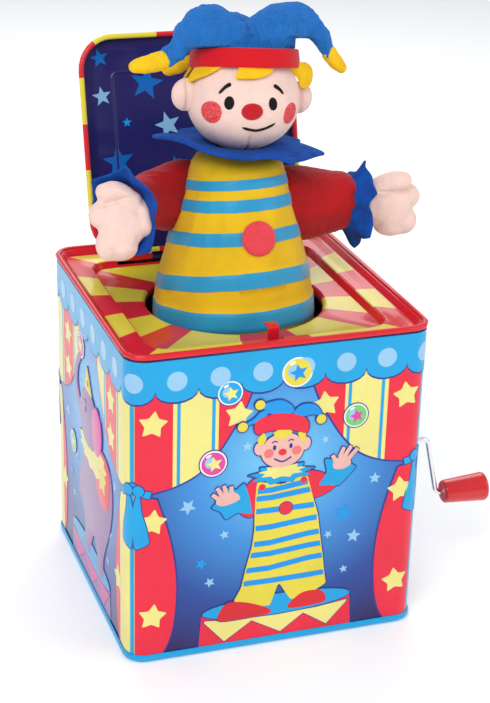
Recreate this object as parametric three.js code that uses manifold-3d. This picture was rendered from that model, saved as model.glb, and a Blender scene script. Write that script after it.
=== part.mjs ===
// Jack in the box: a lithographed tin cube with a cloth clown on a spring, a hinged lid held by a
// hook, and a hand-cranked music movement. Millimetres, +Z up, origin at the middle of the
// footprint on the ground, clown panel towards -Y, crank on +X, lid hinge towards +Y.

import * as THREE from 'three';
import { mergeVertices } from 'three/addons/utils/BufferGeometryUtils.js';
import Module from 'manifold-3d';

const wasm = await Module();
wasm.setup();

// ---- Driving dimensions ------------------------------------------------------------------------

const BOX_HALF = 70; // 5.5 in across the rolled beads
const RIM_Z = 150; // top of the rolled rim; the latch hook above it makes 6 in
const SHEET = 0.6; // tinplate thickness
const GAP = 0.3; // air between pieces that touch
const WALL_HALF = BOX_HALF - 1;
const CORNER_CENTRE = 60; // centre of the vertical corner arcs, from the axis
const RECESS_CENTRE = 45; // centre of the corner arcs of the lid recess

const RING_Z = 146; // flat printed ring inside the rim
const DECK_Z = 142.5; // sunken part of the deck, under the lid
const HOLE_R = 41; // round opening that the doll comes through

const HINGE_Y = 55;
const HINGE_Z = 146.5;
const LID_OPEN = 105; // degrees from closed, as the object stands
const LID = { halfX: 53.75, halfY: 52.2, midY: 0.7, low: 143.2, top: 149, corner: 17 };
const BEAD_R = 1.25;
const KNUCKLE_R = 1.6;
const PIN_R = 0.8;
const LEAF = 0.6;
const DECK_KNUCKLES = [[-38, -24], [-7, 7], [24, 38]];
const LID_KNUCKLES = [[-23.4, -7.6], [7.6, 23.4]];
const HINGE_RIVETS_X = [-30, 30];
const HINGE_RIVET_Y = 60.5;

const LATCH = { y: -56, z: 124, width: 5, shaftR: 1, rise: 26.8 };
const LATCH_ARM_X = [31.6, 33];
const LATCH_BRACKETS_X = [-10, 26];

const SHAFT = { y: -28, z: 72, r: 1.2 };
const CRANK = { start: 35.2, bend: 90, splay: 6.5, radius: 30, end: 119.5, bendR: 3.2 };
const KNOB = { start: 100, end: 123, r0: 5.65, r1: 7.15 };

const WORM = { start: 40, length: 12, pitch: 4, pitchR: 5, tipR: 6, rootR: 3.7 };
const WHEEL_TEETH = 18;
const WHEEL_R = (WHEEL_TEETH * WORM.pitch) / (2 * Math.PI);
const ARBOR = { x: 46, y: SHAFT.y - WORM.pitchR - WHEEL_R, r: 1.2 };
const FRAME = { x0: 36, x1: 67.6, y0: -58, y1: -22, low: 34, high: 80.6, plate: 1.6 };
const FRAME_RIVETS = [[-53, 73], [-53, 41], [-25, 50]];
const DRUM = { low: 40, high: 64, r: 8, pinR: 9, rows: 12 };
const COMB = { tip: 55.5, root: 60.5, back: 65.6, thick: 0.8, screws: [45, 59], screwX: 63.2 };

const SPRING = { r: 16, wire: 0.8, low: 7, high: 197.8, turns: 13 };
const GOWN = { hemR: 37, deckR: 38, neckR: 21.5, low: 6, waist: 146, shoulder: 206, thick: 1.8 };
const HEAD = { x: 2, z: 237.5, rx: 25, ry: 24, rz: 24, nod: 17 }; // nod: degrees the hat leans back
const CROWN = { x: 23, y: 21, z: 21.4, above: 22.4 };
const ARMS = { // `root` is where the sleeve starts; `bend` draws that end sideways to the shoulder
  right: { x: 0, y: 0, z: 188.5, heading: 0, tilt: -5, root: 20, bend: 0, flat: 0.78 },
  left: { x: -13.5, y: 27.6, z: 189.5, heading: 228, tilt: 4, root: 12, bend: 7.5, flat: 0.62 },
};

// ---- Solids ------------------------------------------------------------------------------------

const v2 = (x, y) => new THREE.Vector2(x, y);
const v3 = (x, y, z) => new THREE.Vector3(x, y, z);
const rad = THREE.MathUtils.degToRad;

/** A geometry with shared vertices, no collapsed triangles and its faces pointing out. */
function closed(geometry) {
  const bare = geometry.clone();
  bare.deleteAttribute('normal');
  bare.deleteAttribute('uv');
  const merged = mergeVertices(bare, 1e-4);
  const old = merged.index.array;
  const p = merged.attributes.position;
  const kept = [];
  let volume = 0;
  const [a, b, c] = [v3(), v3(), v3()];
  for (let i = 0; i < old.length; i += 3) {
    const [i0, i1, i2] = [old[i], old[i + 1], old[i + 2]];
    if (i0 === i1 || i1 === i2 || i2 === i0) continue;
    kept.push(i0, i1, i2);
    a.fromBufferAttribute(p, i0);
    b.fromBufferAttribute(p, i1);
    c.fromBufferAttribute(p, i2);
    volume += a.dot(b.cross(c));
  }
  if (volume < 0) {
    for (let i = 0; i < kept.length; i += 3) [kept[i], kept[i + 1]] = [kept[i + 1], kept[i]];
  }
  merged.setIndex(kept);
  return merged;
}

function toSolid(geometry) {
  const g = closed(geometry);
  const vertProperties = new Float32Array(g.attributes.position.array);
  const triVerts = new Uint32Array(g.index.array);
  return new wasm.Manifold(new wasm.Mesh({ numProp: 3, vertProperties, triVerts }));
}

function toGeometry(solid) {
  const mesh = solid.getMesh();
  const g = new THREE.BufferGeometry();
  g.setAttribute('position', new THREE.BufferAttribute(new Float32Array(mesh.vertProperties), 3));
  g.setIndex([...mesh.triVerts]);
  return g;
}

/** The first shape joined with all of `more`. */
function join(first, ...more) {
  return toGeometry(more.reduce((sum, g) => sum.add(toSolid(g)), toSolid(first)));
}

/** `body` with every tool taken out of it. */
function cut(body, ...tools) {
  return toGeometry(tools.reduce((rest, g) => rest.subtract(toSolid(g)), toSolid(body)));
}

function common(one, other) {
  return toGeometry(toSolid(one).intersect(toSolid(other)));
}

/** A box given by its limits along X, Y and Z. */
function slab([x0, x1], [y0, y1], [z0, z1]) {
  const g = new THREE.BoxGeometry(x1 - x0, y1 - y0, z1 - z0);
  return g.translate((x0 + x1) / 2, (y0 + y1) / 2, (z0 + z1) / 2);
}

/** A profile of [radius, height] points turned about Z. */
function turned(profile, segments = 20) {
  const g = new THREE.LatheGeometry(profile.map(([r, h]) => v2(r, h)), segments);
  return closed(g.rotateX(Math.PI / 2));
}

/** The same, with heights running along +X. */
const turnedX = (profile, segments) => turned(profile, segments).rotateY(Math.PI / 2);

/** A plain round bar about Z. */
const bar = (r, z0, z1, segments = 12) => turned([[0, z0], [r, z0], [r, z1], [0, z1]], segments);

/** A washer or tube about Z. */
function pipe(inner, outer, z0, z1, segments = 12) {
  return turned([[inner, z0], [outer, z0], [outer, z1], [inner, z1], [inner, z0]], segments);
}

/**
 * A pressed rectangular shape: a lathe of `rows` whose every column is moved out to the corner of
 * a rounded rectangle. Each row is [halfX, halfY, corner radius, height]; a row of zeros for the
 * first three lies on the axis.
 */
function pressed(rows, cornerSteps = 4) {
  const columns = 4 * (cornerSteps + 1);
  const g = new THREE.LatheGeometry(rows.map(([hx, , , z]) => v2(hx, z)), columns);
  const p = g.attributes.position;
  for (let i = 0; i <= columns; i++) {
    const quarter = Math.floor(i / (cornerSteps + 1)) % 4;
    const angle = (quarter + (i % (cornerSteps + 1)) / cornerSteps) * (Math.PI / 2);
    const sx = quarter === 0 || quarter === 3 ? 1 : -1;
    const sy = quarter < 2 ? 1 : -1;
    rows.forEach(([hx, hy, r, z], j) => {
      const x = sx * (hx - r) + r * Math.cos(angle);
      const y = sy * (hy - r) + r * Math.sin(angle);
      p.setXYZ(i * rows.length + j, x, y, z);
    });
  }
  return closed(g);
}

/** Rows of a square pressing whose corner arcs all share one centre. */
const squareRows = (centre, points) => points.map(([half, z]) => [half, half, half - centre, z]);

/** A flat outline in the plane across an axis, extruded along that axis. */
function plate(outline, depth, holes = []) {
  const shape = new THREE.Shape(outline.map(([x, y]) => v2(x, y)));
  for (const [x, y, r] of holes) {
    const hole = new THREE.Path().absarc(x, y, r, 0, 2 * Math.PI);
    shape.holes.push(hole);
  }
  return new THREE.ExtrudeGeometry(shape, { depth, bevelEnabled: false, curveSegments: 6 });
}

/** Moves a plate drawn in (Y, Z) so that it spans x0 to x0 + depth. */
const acrossX = (g, x0) => g.rotateX(Math.PI / 2).rotateZ(Math.PI / 2).translate(x0, 0, 0);

/** Points on a circle, from one angle to another, both in degrees. */
function arc(x, y, r, from, to, steps) {
  const at = (i) => rad(from + ((to - from) * i) / steps);
  return Array.from({ length: steps + 1 }, (_, i) => [x + r * Math.cos(at(i)), y + r * Math.sin(at(i))]);
}

function wire(path, r, steps, sides = 8) {
  const ring = Array.from({ length: sides }, (_, i) => {
    const a = (2 * Math.PI * i) / sides;
    return v2(r * Math.cos(a), r * Math.sin(a));
  });
  const options = { steps, extrudePath: path, bevelEnabled: false };
  return closed(new THREE.ExtrudeGeometry(new THREE.Shape(ring), options));
}

class Helix extends THREE.Curve {
  constructor(r, low, high, turns) {
    super();
    Object.assign(this, { r, low, high, turns });
  }

  getPoint(t, target = v3()) {
    const a = 2 * Math.PI * this.turns * t;
    const z = this.low + (this.high - this.low) * t;
    return target.set(this.r * Math.cos(a), this.r * Math.sin(a), z);
  }
}

/** Turns every vertex about Z by `rate` radians for each millimetre of height. */
function twist(g, rate) {
  const p = g.attributes.position;
  const point = v3();
  for (let i = 0; i < p.count; i++) {
    point.fromBufferAttribute(p, i);
    point.applyAxisAngle(v3(0, 0, 1), point.z * rate);
    p.setXYZ(i, point.x, point.y, point.z);
  }
  return g;
}

function ellipsoid(rx, ry, rz, columns = 20, rows = 12) {
  return closed(new THREE.SphereGeometry(1, columns, rows).rotateX(Math.PI / 2).scale(rx, ry, rz));
}

// ---- Materials and the assembly ----------------------------------------------------------------

const finish = (color, roughness, metalness) =>
  new THREE.MeshStandardMaterial({ color, roughness, metalness });
const LITHO_BLUE = finish(0x2f7fc4, 0.3, 0.2);
const LITHO_RED = finish(0xd81f2a, 0.3, 0.2);
const LITHO_NAVY = finish(0x1b2560, 0.3, 0.2);
const STEEL = finish(0xb9bcc0, 0.35, 0.9);
const CHROME = finish(0xe4e6e8, 0.12, 1);
const BRASS = finish(0xc9a557, 0.35, 0.9);
const RED_PLASTIC = finish(0xd6252c, 0.25, 0);
const WHITE_NYLON = finish(0xe9e6dc, 0.5, 0);
const GOWN_CLOTH = finish(0xe8c022, 0.8, 0);
const SLEEVE_CLOTH = finish(0xc21e22, 0.8, 0);
const BLUE_VELOUR = finish(0x2a5fc0, 0.95, 0);
const RED_VELOUR = finish(0xc92a30, 0.95, 0);
const YELLOW_FELT = finish(0xf3c72a, 0.95, 0);
const SKIN_PLUSH = finish(0xf2ccc2, 0.95, 0);

const toy = new THREE.Group();

function piece(parent, name, geometry, material) {
  const mesh = new THREE.Mesh(closed(geometry), material);
  mesh.name = name;
  parent.add(mesh);
  return mesh;
}

function group(parent, x = 0, y = 0, z = 0) {
  const g = new THREE.Group();
  g.position.set(x, y, z);
  parent.add(g);
  return g;
}

// ---- Tin box -----------------------------------------------------------------------------------

const BUSH_HOLE_R = 3.3;
const RIVET_HOLE_R = 1.3;
const boreX = (r, x0, x1, y, z) => turnedX([[0, x0], [r, x0], [r, x1], [0, x1]], 12).translate(0, y, z);

function boxBody() {
  const walls = squareRows(CORNER_CENTRE, [
    [WALL_HALF, 1 + GAP], [WALL_HALF, RIM_Z - 3.1],
    [WALL_HALF - SHEET, RIM_Z - 3.1], [WALL_HALF - SHEET, 1 + GAP], [WALL_HALF, 1 + GAP],
  ]);
  const bores = FRAME_RIVETS.map(([y, z]) => boreX(RIVET_HOLE_R, 66, 72, y, z));
  return cut(pressed(walls), boreX(BUSH_HOLE_R, 66, 72, SHAFT.y, SHAFT.z), ...bores);
}

function basePan() {
  const wrap = WALL_HALF + GAP;
  const rows = squareRows(CORNER_CENTRE, [
    [BOX_HALF - 0.8, 0], [BOX_HALF, 0.8], [BOX_HALF, 3], [wrap, 3.6], [wrap, 1],
  ]);
  return pressed([[0, 0, 0, 0], ...rows, [0, 0, 0, 1]]);
}

const SLOT = { x: 3.6, y0: -57.9, y1: -53 };
const HINGE_POCKET = { x: 41, y0: 52.6, y1: 58.6 };

function topDeck() {
  const beadHalf = BOX_HALF - 1.4;
  const rim = squareRows(CORNER_CENTRE, [
    [beadHalf, RIM_Z - 2.8], [BOX_HALF - 0.4, RIM_Z - 2.4], [BOX_HALF, RIM_Z - 1.4],
    [BOX_HALF - 0.4, RIM_Z - 0.4], [beadHalf, RIM_Z], [beadHalf - 1, RIM_Z - 0.4], [65, RING_Z],
  ]);
  const under = squareRows(CORNER_CENTRE, [
    [64.7, RING_Z - SHEET], [beadHalf - 1.3, RIM_Z - 1.9], [beadHalf, RIM_Z - 2.8],
  ]);
  const recess = squareRows(RECESS_CENTRE, [[56, RING_Z], [53.5, DECK_Z]]);
  const recessUnder = squareRows(RECESS_CENTRE, [
    [53.2, DECK_Z - SHEET], [55.6, RING_Z - SHEET],
  ]);
  const sheet = pressed([
    ...rim, ...recess, [0, 0, 0, DECK_Z], [0, 0, 0, DECK_Z - SHEET], ...recessUnder, ...under,
  ]);
  const open = cut(
    sheet,
    bar(HOLE_R, 130, 150, 28),
    slab([-SLOT.x, SLOT.x], [SLOT.y0, SLOT.y1], [140, 148]),
    slab([-HINGE_POCKET.x, HINGE_POCKET.x], [HINGE_POCKET.y0, HINGE_POCKET.y1], [143.6, 147]),
    ...HINGE_RIVETS_X.map((x) => bar(RIVET_HOLE_R, 140, 150, 10).translate(x, HINGE_RIVET_Y, 0)),
  );
  return join(open, pipe(HOLE_R, HOLE_R + 0.8, DECK_Z - 3.6, DECK_Z - 0.2, 28));
}

// ---- Lid and hinge -----------------------------------------------------------------------------

const knuckle = ([x0, x1]) =>
  pipe(PIN_R + GAP, KNUCKLE_R, x0, x1, 10).rotateY(Math.PI / 2).translate(0, HINGE_Y, HINGE_Z);

function hingeLeafDeck() {
  const z = [RING_Z + GAP, RING_Z + GAP + LEAF];
  const flat = slab([-38, 38], [HINGE_Y + 2.4, HINGE_Y + 8.4], z);
  const tabs = DECK_KNUCKLES.map((span) => slab(span, [HINGE_Y + 1.3, HINGE_Y + 2.6], z));
  const holes = HINGE_RIVETS_X.map((x) => bar(RIVET_HOLE_R, 140, 150, 10).translate(x, HINGE_RIVET_Y, 0));
  return cut(join(flat, ...tabs, ...DECK_KNUCKLES.map(knuckle)), ...holes);
}

function hingeRivet(x) {
  const low = RING_Z - SHEET;
  const high = RING_Z + GAP + LEAF;
  return turned([
    [0, low - 1], [1.7, low - 1], [1.7, low - GAP], [1, low - GAP],
    [1, high + GAP], [1.9, high + GAP], [1.5, high + 1], [0, high + 1.2],
  ], 12).translate(x, HINGE_RIVET_Y, 0);
}

/** The lid as it lies when closed: a shallow pan with a rolled bead round its open edge. */
function lidShell() {
  const { halfX, halfY, midY, low, top, corner } = LID;
  const inset = (d, z) => [halfX - d, halfY - d, corner - d, z];
  const skirt = BEAD_R + SHEET / 2;
  const beadZ = low + BEAD_R;
  const bead = arc(BEAD_R, beadZ, BEAD_R, 90, 360, 6).map(([d, z]) => inset(d, z));
  const pan = pressed([
    [0, 0, 0, top], inset(skirt + 1, top), inset(skirt - 0.2, top - 0.9),
    ...bead, inset(skirt + 0.4, low + 2.4), inset(skirt + 0.4, top - 0.8),
    inset(skirt + 1, top - SHEET), [0, 0, 0, top - SHEET],
  ]).translate(0, midY, 0);
  const slots = LID_KNUCKLES.map(([x0, x1]) => slab([x0 - GAP, x1 + GAP], [50, 54], [147.1, 148.45]));
  return cut(pan, ...slots);
}

function hingeLeafLid() {
  const top = HINGE_Z + KNUCKLE_R;
  const z = [top - LEAF, top];
  const flat = slab([-23.4, 23.4], [38, 49.2], z);
  const tabs = LID_KNUCKLES.map((span) => slab(span, [49, HINGE_Y - 0.3], z));
  return join(flat, ...tabs, ...LID_KNUCKLES.map(knuckle));
}

/** Closed geometry turned about the hinge pin to the open position. */
function opened(geometry) {
  const turn = rad(-LID_OPEN);
  return geometry.translate(0, -HINGE_Y, -HINGE_Z).rotateX(turn).translate(0, HINGE_Y, HINGE_Z);
}

// ---- Latch -------------------------------------------------------------------------------------

function latchHook() {
  const { rise, width } = LATCH;
  const outline = [
    [1.6, 0], [2.4, 0], [2.4, rise - 1.8], ...arc(3.4, rise - 1.8, 1, 180, 90, 3).slice(1),
    [6.6, rise - 0.9], [7.2, rise - 1.5], [7.9, rise - 1.1], [6.9, rise - 0.1],
    ...arc(3.4, rise - 1.8, 1.8, 90, 180, 4),
  ];
  const strip = acrossX(plate(outline, width), -width / 2);
  const hub = pipe(LATCH.shaftR + GAP, 2.4, -width / 2, width / 2).rotateY(Math.PI / 2);
  return join(strip, hub);
}

function latchArm() {
  const [x0, x1] = LATCH_ARM_X;
  const outline = [
    ...arc(0, 0, 3, 0, 180, 5), [-3, -2], [6.5, -56], [7, -62], [11, -62], [11, -56], [3, -2],
  ];
  return acrossX(plate(outline, x1 - x0, [[0, 0, LATCH.shaftR + GAP]]), x0);
}

function latchBracket(x) {
  const wall = -WALL_HALF + SHEET + GAP;
  const web = slab([x, x + 1.2], [wall, -52.8], [118, 129]);
  const foot = slab([x - 6, x + 1.2], [wall, wall + 1.2], [118, 129]);
  return cut(join(web, foot), boreX(LATCH.shaftR + GAP, x - 1, x + 3, LATCH.y, LATCH.z));
}

function latchSpring() {
  const coil = wire(new Helix(2.3, 0, 5, 4), 0.4, 32, 4);
  return coil.rotateY(Math.PI / 2).translate(4, LATCH.y, LATCH.z);
}

// ---- Crank -------------------------------------------------------------------------------------

function crankRod() {
  const { start, bend, splay, radius, end, bendR } = CRANK;
  const corners = [v3(start, 0, 0), v3(bend, 0, 0), v3(bend + splay, 0, -radius), v3(end, 0, -radius)];
  const path = new THREE.CurvePath();
  let from = corners[0];
  for (const i of [1, 2]) {
    const back = corners[i - 1].clone().sub(corners[i]).setLength(bendR);
    const on = corners[i + 1].clone().sub(corners[i]).setLength(bendR);
    const [enter, leave] = [corners[i].clone().add(back), corners[i].clone().add(on)];
    path.add(new THREE.LineCurve3(from, enter));
    path.add(new THREE.QuadraticBezierCurve3(enter, corners[i], leave));
    from = leave;
  }
  path.add(new THREE.LineCurve3(from, corners[3]));
  return wire(path, SHAFT.r, 44, 8);
}

function crankKnob() {
  const { start, end, r0, r1 } = KNOB;
  const bore = SHAFT.r + GAP;
  return turnedX([
    [bore, start], [r0 - 0.8, start], [r0, start + 0.8], [r1, end - 2], [r1 - 0.4, end - 0.8],
    [3.6, end - 0.8], [3.6, end - 4.5], [bore, end - 4.5], [bore, start],
  ], 18);
}

function knobCap() {
  const { end } = KNOB;
  return turnedX([[0, end - 1.6], [3.3, end - 1.6], [3.3, end - 0.6], [2.2, end - 0.1], [0, end]], 14);
}

/** A push-on nut for the crank wire, from x0 to x0 + 1.2. */
const pushNut = (x0, r) => pipe(SHAFT.r + GAP, r, x0, x0 + 1.2, 12).rotateY(Math.PI / 2);

function crankBushing() {
  const bore = SHAFT.r + GAP;
  const inner = FRAME.x1 - FRAME.plate - 0.4;
  return turnedX([
    [bore, inner], [3, inner], [3, WALL_HALF + GAP], [4.6, WALL_HALF + GAP],
    [4.6, WALL_HALF + 0.9], [4, WALL_HALF + 1.4], [bore, WALL_HALF + 1.4], [bore, inner],
  ], 14);
}

// ---- Music movement ----------------------------------------------------------------------------

/** Radius of the one-start worm in a cut across its axis, at a share `u` of a turn. */
function wormRadius(u) {
  const away = Math.abs(u - 0.5);
  const slope = (away - 0.07) / 0.16;
  return THREE.MathUtils.lerp(WORM.tipR, WORM.rootR, THREE.MathUtils.clamp(slope, 0, 1));
}

function worm() {
  const stations = [0, 0.1, 0.2, 0.27, 0.35, 0.43, 0.5, 0.57, 0.65, 0.73, 0.8, 0.9];
  const outline = stations.map((u) => {
    const a = 2 * Math.PI * u;
    return [wormRadius(u) * Math.cos(a), wormRadius(u) * Math.sin(a)];
  });
  const shape = new THREE.Shape(outline.map(([x, y]) => v2(x, y)));
  const turns = WORM.length / WORM.pitch;
  const blank = new THREE.ExtrudeGeometry(shape, {
    depth: WORM.length, steps: 12 * turns, bevelEnabled: false,
  });
  const thread = twist(closed(blank), (2 * Math.PI) / WORM.pitch);
  const bore = bar(SHAFT.r + GAP, -1, WORM.length + 1, 12);
  return cut(thread, bore).rotateY(Math.PI / 2).translate(WORM.start, 0, 0);
}

function wormWheel() {
  const half = 2.5;
  const step = (2 * Math.PI) / WHEEL_TEETH;
  const outline = [];
  for (let i = 0; i < WHEEL_TEETH; i++) {
    const corners = [[-0.3, 9.8], [-0.13, 12.2], [0.13, 12.2], [0.3, 9.8]];
    for (const [share, r] of corners) {
      const a = (i + share + 0.25) * step;
      outline.push([r * Math.cos(a), r * Math.sin(a)]);
    }
  }
  const blank = closed(plate(outline, 2 * half).translate(0, 0, -half));
  const lead = Math.tan(WORM.pitch / (2 * Math.PI * WORM.pitchR)) / WHEEL_R;
  const hub = bar(4, -half - 1.2, 0, 16);
  return cut(join(twist(blank, lead), hub), bar(ARBOR.r + GAP, -10, 10, 12)).translate(0, 0, SHAFT.z);
}

function musicDrum() {
  const { low, high, r, pinR, rows } = DRUM;
  const pins = [];
  for (let row = 0; row < rows; row++) {
    const z = low + 1 + ((high - low - 2) * (row + 0.5)) / rows;
    for (let k = 0; k < 2; k++) {
      const pin = slab([r - 1, pinR], [-0.25, 0.25], [z - 0.25, z + 0.25]);
      pins.push(pin.rotateZ(rad(47 * row + 131 * k)));
    }
  }
  return cut(join(bar(r, low, high, 20), ...pins), bar(ARBOR.r + GAP, low - 1, high + 1, 12));
}

function tripFinger() {
  const outline = [...arc(0, 0, 3.2, 20, 340, 10), [11.4, -0.9], [12, 0], [11.4, 0.9]];
  return plate(outline, 2.4, [[0, 0, ARBOR.r + GAP]]).translate(0, 0, 65);
}

function combPlate() {
  const { tip, root, back, thick } = COMB;
  const pitch = (DRUM.high - DRUM.low - 2) / DRUM.rows;
  const outline = [[back, DRUM.low], [back, DRUM.high], [root, DRUM.high]];
  for (let i = DRUM.rows - 1; i >= 0; i--) {
    const z = DRUM.low + 1 + pitch * (i + 0.5);
    outline.push([root, z + 0.7], [tip, z + 0.7], [tip, z - 0.7], [root, z - 0.7]);
  }
  outline.push([root, DRUM.low]);
  const holes = COMB.screws.map((z) => [COMB.screwX, z, RIVET_HOLE_R]);
  return plate(outline, thick, holes).rotateX(Math.PI / 2).translate(0, ARBOR.y + thick / 2, 0);
}

/** The face of the frame block that the comb is screwed to. */
const COMB_SEAT_Y = ARBOR.y + COMB.thick / 2 + GAP;

function combScrew(z) {
  const head = -(ARBOR.y - COMB.thick / 2 - GAP);
  return turned([
    [0, -COMB_SEAT_Y - 4], [1, -COMB_SEAT_Y - 4], [1, head], [2, head], [2, head + 0.8],
    [1.4, head + 1.3], [0, head + 1.3],
  ], 12).rotateX(Math.PI / 2).translate(COMB.screwX, 0, z);
}

function movementFrame() {
  const { x0, x1, y0, y1, low, high, plate: t } = FRAME;
  const clearOfWorm = SHAFT.y - WORM.tipR - 0.6;
  const parts = [
    slab([x1 - t, x1], [y0, y1], [low, high]),
    slab([x0 + 2, x1], [y0, clearOfWorm], [low, low + t]),
    slab([x0 + 2, x1], [y0, clearOfWorm], [high - t, high]),
    slab([x0, x0 + 3], [clearOfWorm - 4, SHAFT.y + 4], [high - t, high]),
    slab([x0, x0 + t], [SHAFT.y - 4, SHAFT.y + 4], [SHAFT.z - 5, high]),
    slab([60.5, x1], [COMB_SEAT_Y, COMB_SEAT_Y + 6], [DRUM.low + 1, DRUM.high - 1]),
  ];
  const bores = [
    boreX(SHAFT.r + GAP, x0 - 1, x0 + 3, SHAFT.y, SHAFT.z),
    boreX(BUSH_HOLE_R, 60, 70, SHAFT.y, SHAFT.z),
    bar(ARBOR.r + GAP, low - 1, high + 1, 12).translate(ARBOR.x, ARBOR.y, 0),
    ...FRAME_RIVETS.map(([y, z]) => boreX(RIVET_HOLE_R, 60, 70, y, z)),
    ...COMB.screws.map((z) => bar(RIVET_HOLE_R, 0, 10, 12)
      .rotateX(-Math.PI / 2).translate(COMB.screwX, COMB_SEAT_Y - 5, z)),
  ];
  return cut(join(...parts), ...bores);
}

function frameRivet([y, z]) {
  const inner = FRAME.x1 - FRAME.plate - GAP;
  const outer = WALL_HALF + GAP;
  return turnedX([
    [0, inner - 0.8], [1.8, inner - 0.8], [1.8, inner], [1, inner], [1, outer], [2, outer],
    [1.6, outer + 0.5], [0, outer + 0.7],
  ], 10).translate(0, y, z);
}

// ---- Doll --------------------------------------------------------------------------------------

function gownRadius(z) {
  const share = (z - GOWN.waist) / (GOWN.shoulder - GOWN.waist);
  return THREE.MathUtils.lerp(GOWN.deckR, GOWN.neckR, THREE.MathUtils.clamp(share, 0, 1));
}

function gown() {
  const { hemR, deckR, neckR, low, waist, shoulder, thick } = GOWN;
  return turned([
    [hemR, low], [deckR - 0.4, 60], [deckR, waist], [neckR, shoulder], [neckR - 2, shoulder + 3],
    [neckR - 2 - thick, shoulder + 3], [neckR - thick, shoulder - 0.4], [deckR - thick, waist - 0.6],
    [deckR - 0.4 - thick, 60], [hemR - thick, low], [hemR, low],
  ], 24);
}

function springSeat() {
  const floor = 1 + GAP;
  return turned([
    [0, floor], [37, floor], [37, floor + 1.2], [14.4, floor + 1.2], [14, SPRING.low + 1],
    [12.8, SPRING.low + 1], [12.8, floor + 1.2], [0, floor + 1.2],
  ], 20);
}

function neckPlug() {
  return turned([
    [0, 199.2], [17.4, 199.2], [17.4, 202], [8, 202], [8, 212.6], [0, 212.6],
  ], 16);
}

/** The head's ball, `extra` bigger all over. */
const headBall = (extra = 0) =>
  ellipsoid(HEAD.rx + extra, HEAD.ry + extra, HEAD.rz + extra, 24, 14).translate(HEAD.x, 0, HEAD.z);

/** The left ear is sewn on a little higher than the right one. */
function ear(side) {
  const lift = 0.2 - 1.5 * side;
  const blob = ellipsoid(5.2, 3.6, 6.8, 12, 8).translate(HEAD.x + side * 26.2, 0, HEAD.z + lift);
  return cut(blob, headBall(GAP));
}

/** A shape drawn on an upright head, leaned back with it. */
function nodded(g) {
  return g.translate(-HEAD.x, 0, -HEAD.z).rotateX(rad(-HEAD.nod)).translate(HEAD.x, 0, HEAD.z);
}

/** The hat's dome, `extra` bigger all over. */
function domeBall(extra = 0) {
  const dome = ellipsoid(CROWN.x + extra, CROWN.y + extra, CROWN.z + extra, 20, 12);
  return dome.translate(HEAD.x, 0, HEAD.z + CROWN.above);
}

function hair() {
  const cap = common(headBall(2), slab([-40, 40], [-40, 40], [243, 250]));
  const ears = [-1, 1].map((side) => slab(
    [HEAD.x + side * 27 - 5, HEAD.x + side * 27 + 5], [-6, 6], [240, 246],
  ));
  return nodded(cut(cap, headBall(GAP), ...ears));
}

function hatBand() {
  const band = turned([[22, 250.3], [24.4, 251.2], [24.2, 258], [21.6, 258.7], [22, 250.3]], 22);
  return nodded(band.translate(HEAD.x, 0, 0));
}

function hatCrown() {
  const base = HEAD.z + CROWN.above - 0.9;
  return nodded(cut(domeBall(), slab([-40, 40], [-40, 40], [220, base]), headBall(0.5)));
}

/** One horn of the hat, along +X from the crown, in two pieces that meet at `split`. */
function horn(parent, name, { heading, droop, z }) {
  const root = group(parent, HEAD.x, 0, z);
  root.rotation.set(0, rad(droop), rad(heading), 'ZYX');
  const tail = turnedX([[0, 18], [6.5, 18], [8.4, 23], [6.6, 33], [4.6, 39.5], [0, 39.5]], 14);
  const tip = turnedX([[0, 39.8], [4.4, 39.8], [3.4, 46], [1.6, 50.6], [0, 51.6]], 12);
  root.updateMatrix();
  const band = bar(25, 249, HEAD.z + CROWN.above, 24).translate(HEAD.x, 0, 0);
  const inside = nodded(join(domeBall(0.4), headBall(0.5), band));
  inside.applyMatrix4(root.matrix.clone().invert());
  piece(root, `hat_tail_${name}`, cut(tail, inside), BLUE_VELOUR);
  piece(root, `hat_tip_${name}`, tip, YELLOW_FELT);
}

function collar() {
  return turned([[19.4, 210.6], [36, 209.2], [38, 212], [30, 215], [21, 216], [19.4, 210.6]], 24);
}

/** Draws the near end of a sleeve sideways by `bend`, easing off to nothing at the forearm. */
function bent(sleeve, root, bend) {
  const forearm = 45;
  const points = sleeve.getAttribute('position');
  for (let i = 0; i < points.count; i++) {
    const share = Math.max(0, (forearm - points.getX(i)) / (forearm - root));
    points.setY(i, points.getY(i) + bend * share ** 2);
  }
  return sleeve;
}

/** One arm along its own +X: sleeve, ruffled cuff and mitten hand, each clear of the next. */
function arm(parent, name, { x, y, z, heading, tilt, root, bend, flat }) {
  const shoulder = group(parent, x, y, z);
  shoulder.rotation.set(0, rad(-tilt), rad(heading), 'ZYX');
  const straight = turnedX([
    [0, root], [18, root], [18, 25], [17.6, 31], [16.6, 38], [15, 45], [12, 54.6], [0, 54.6],
  ], 20);
  const sleeve = bent(straight.scale(1, flat, 1), root, bend);
  const bodyAndCollar = turned([
    [0, 100], [GOWN.deckR + GAP, 100], [GOWN.deckR + GAP, GOWN.waist],
    [GOWN.neckR + GAP, 208.6], [60, 208.6], [60, 230], [0, 230],
  ], 24);
  shoulder.updateMatrix();
  bodyAndCollar.applyMatrix4(shoulder.matrix.clone().invert());
  piece(shoulder, `sleeve_${name}`, cut(sleeve, bodyAndCollar), SLEEVE_CLOTH);
  const cuff = turnedX([[0, 55], [12.5, 55], [20.5, 61], [19.5, 64.7], [0, 64.7]], 20);
  piece(shoulder, `cuff_${name}`, cuff.scale(1, flat, 1), BLUE_VELOUR);
  const hand = turnedX([
    [0, 65], [9.5, 65], [14, 69], [16.5, 76], [15.5, 83], [11, 89], [5, 91.5], [0, 92],
  ], 18);
  piece(shoulder, `hand_${name}`, hand.scale(1, 0.5, 1), SKIN_PLUSH);
}

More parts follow.
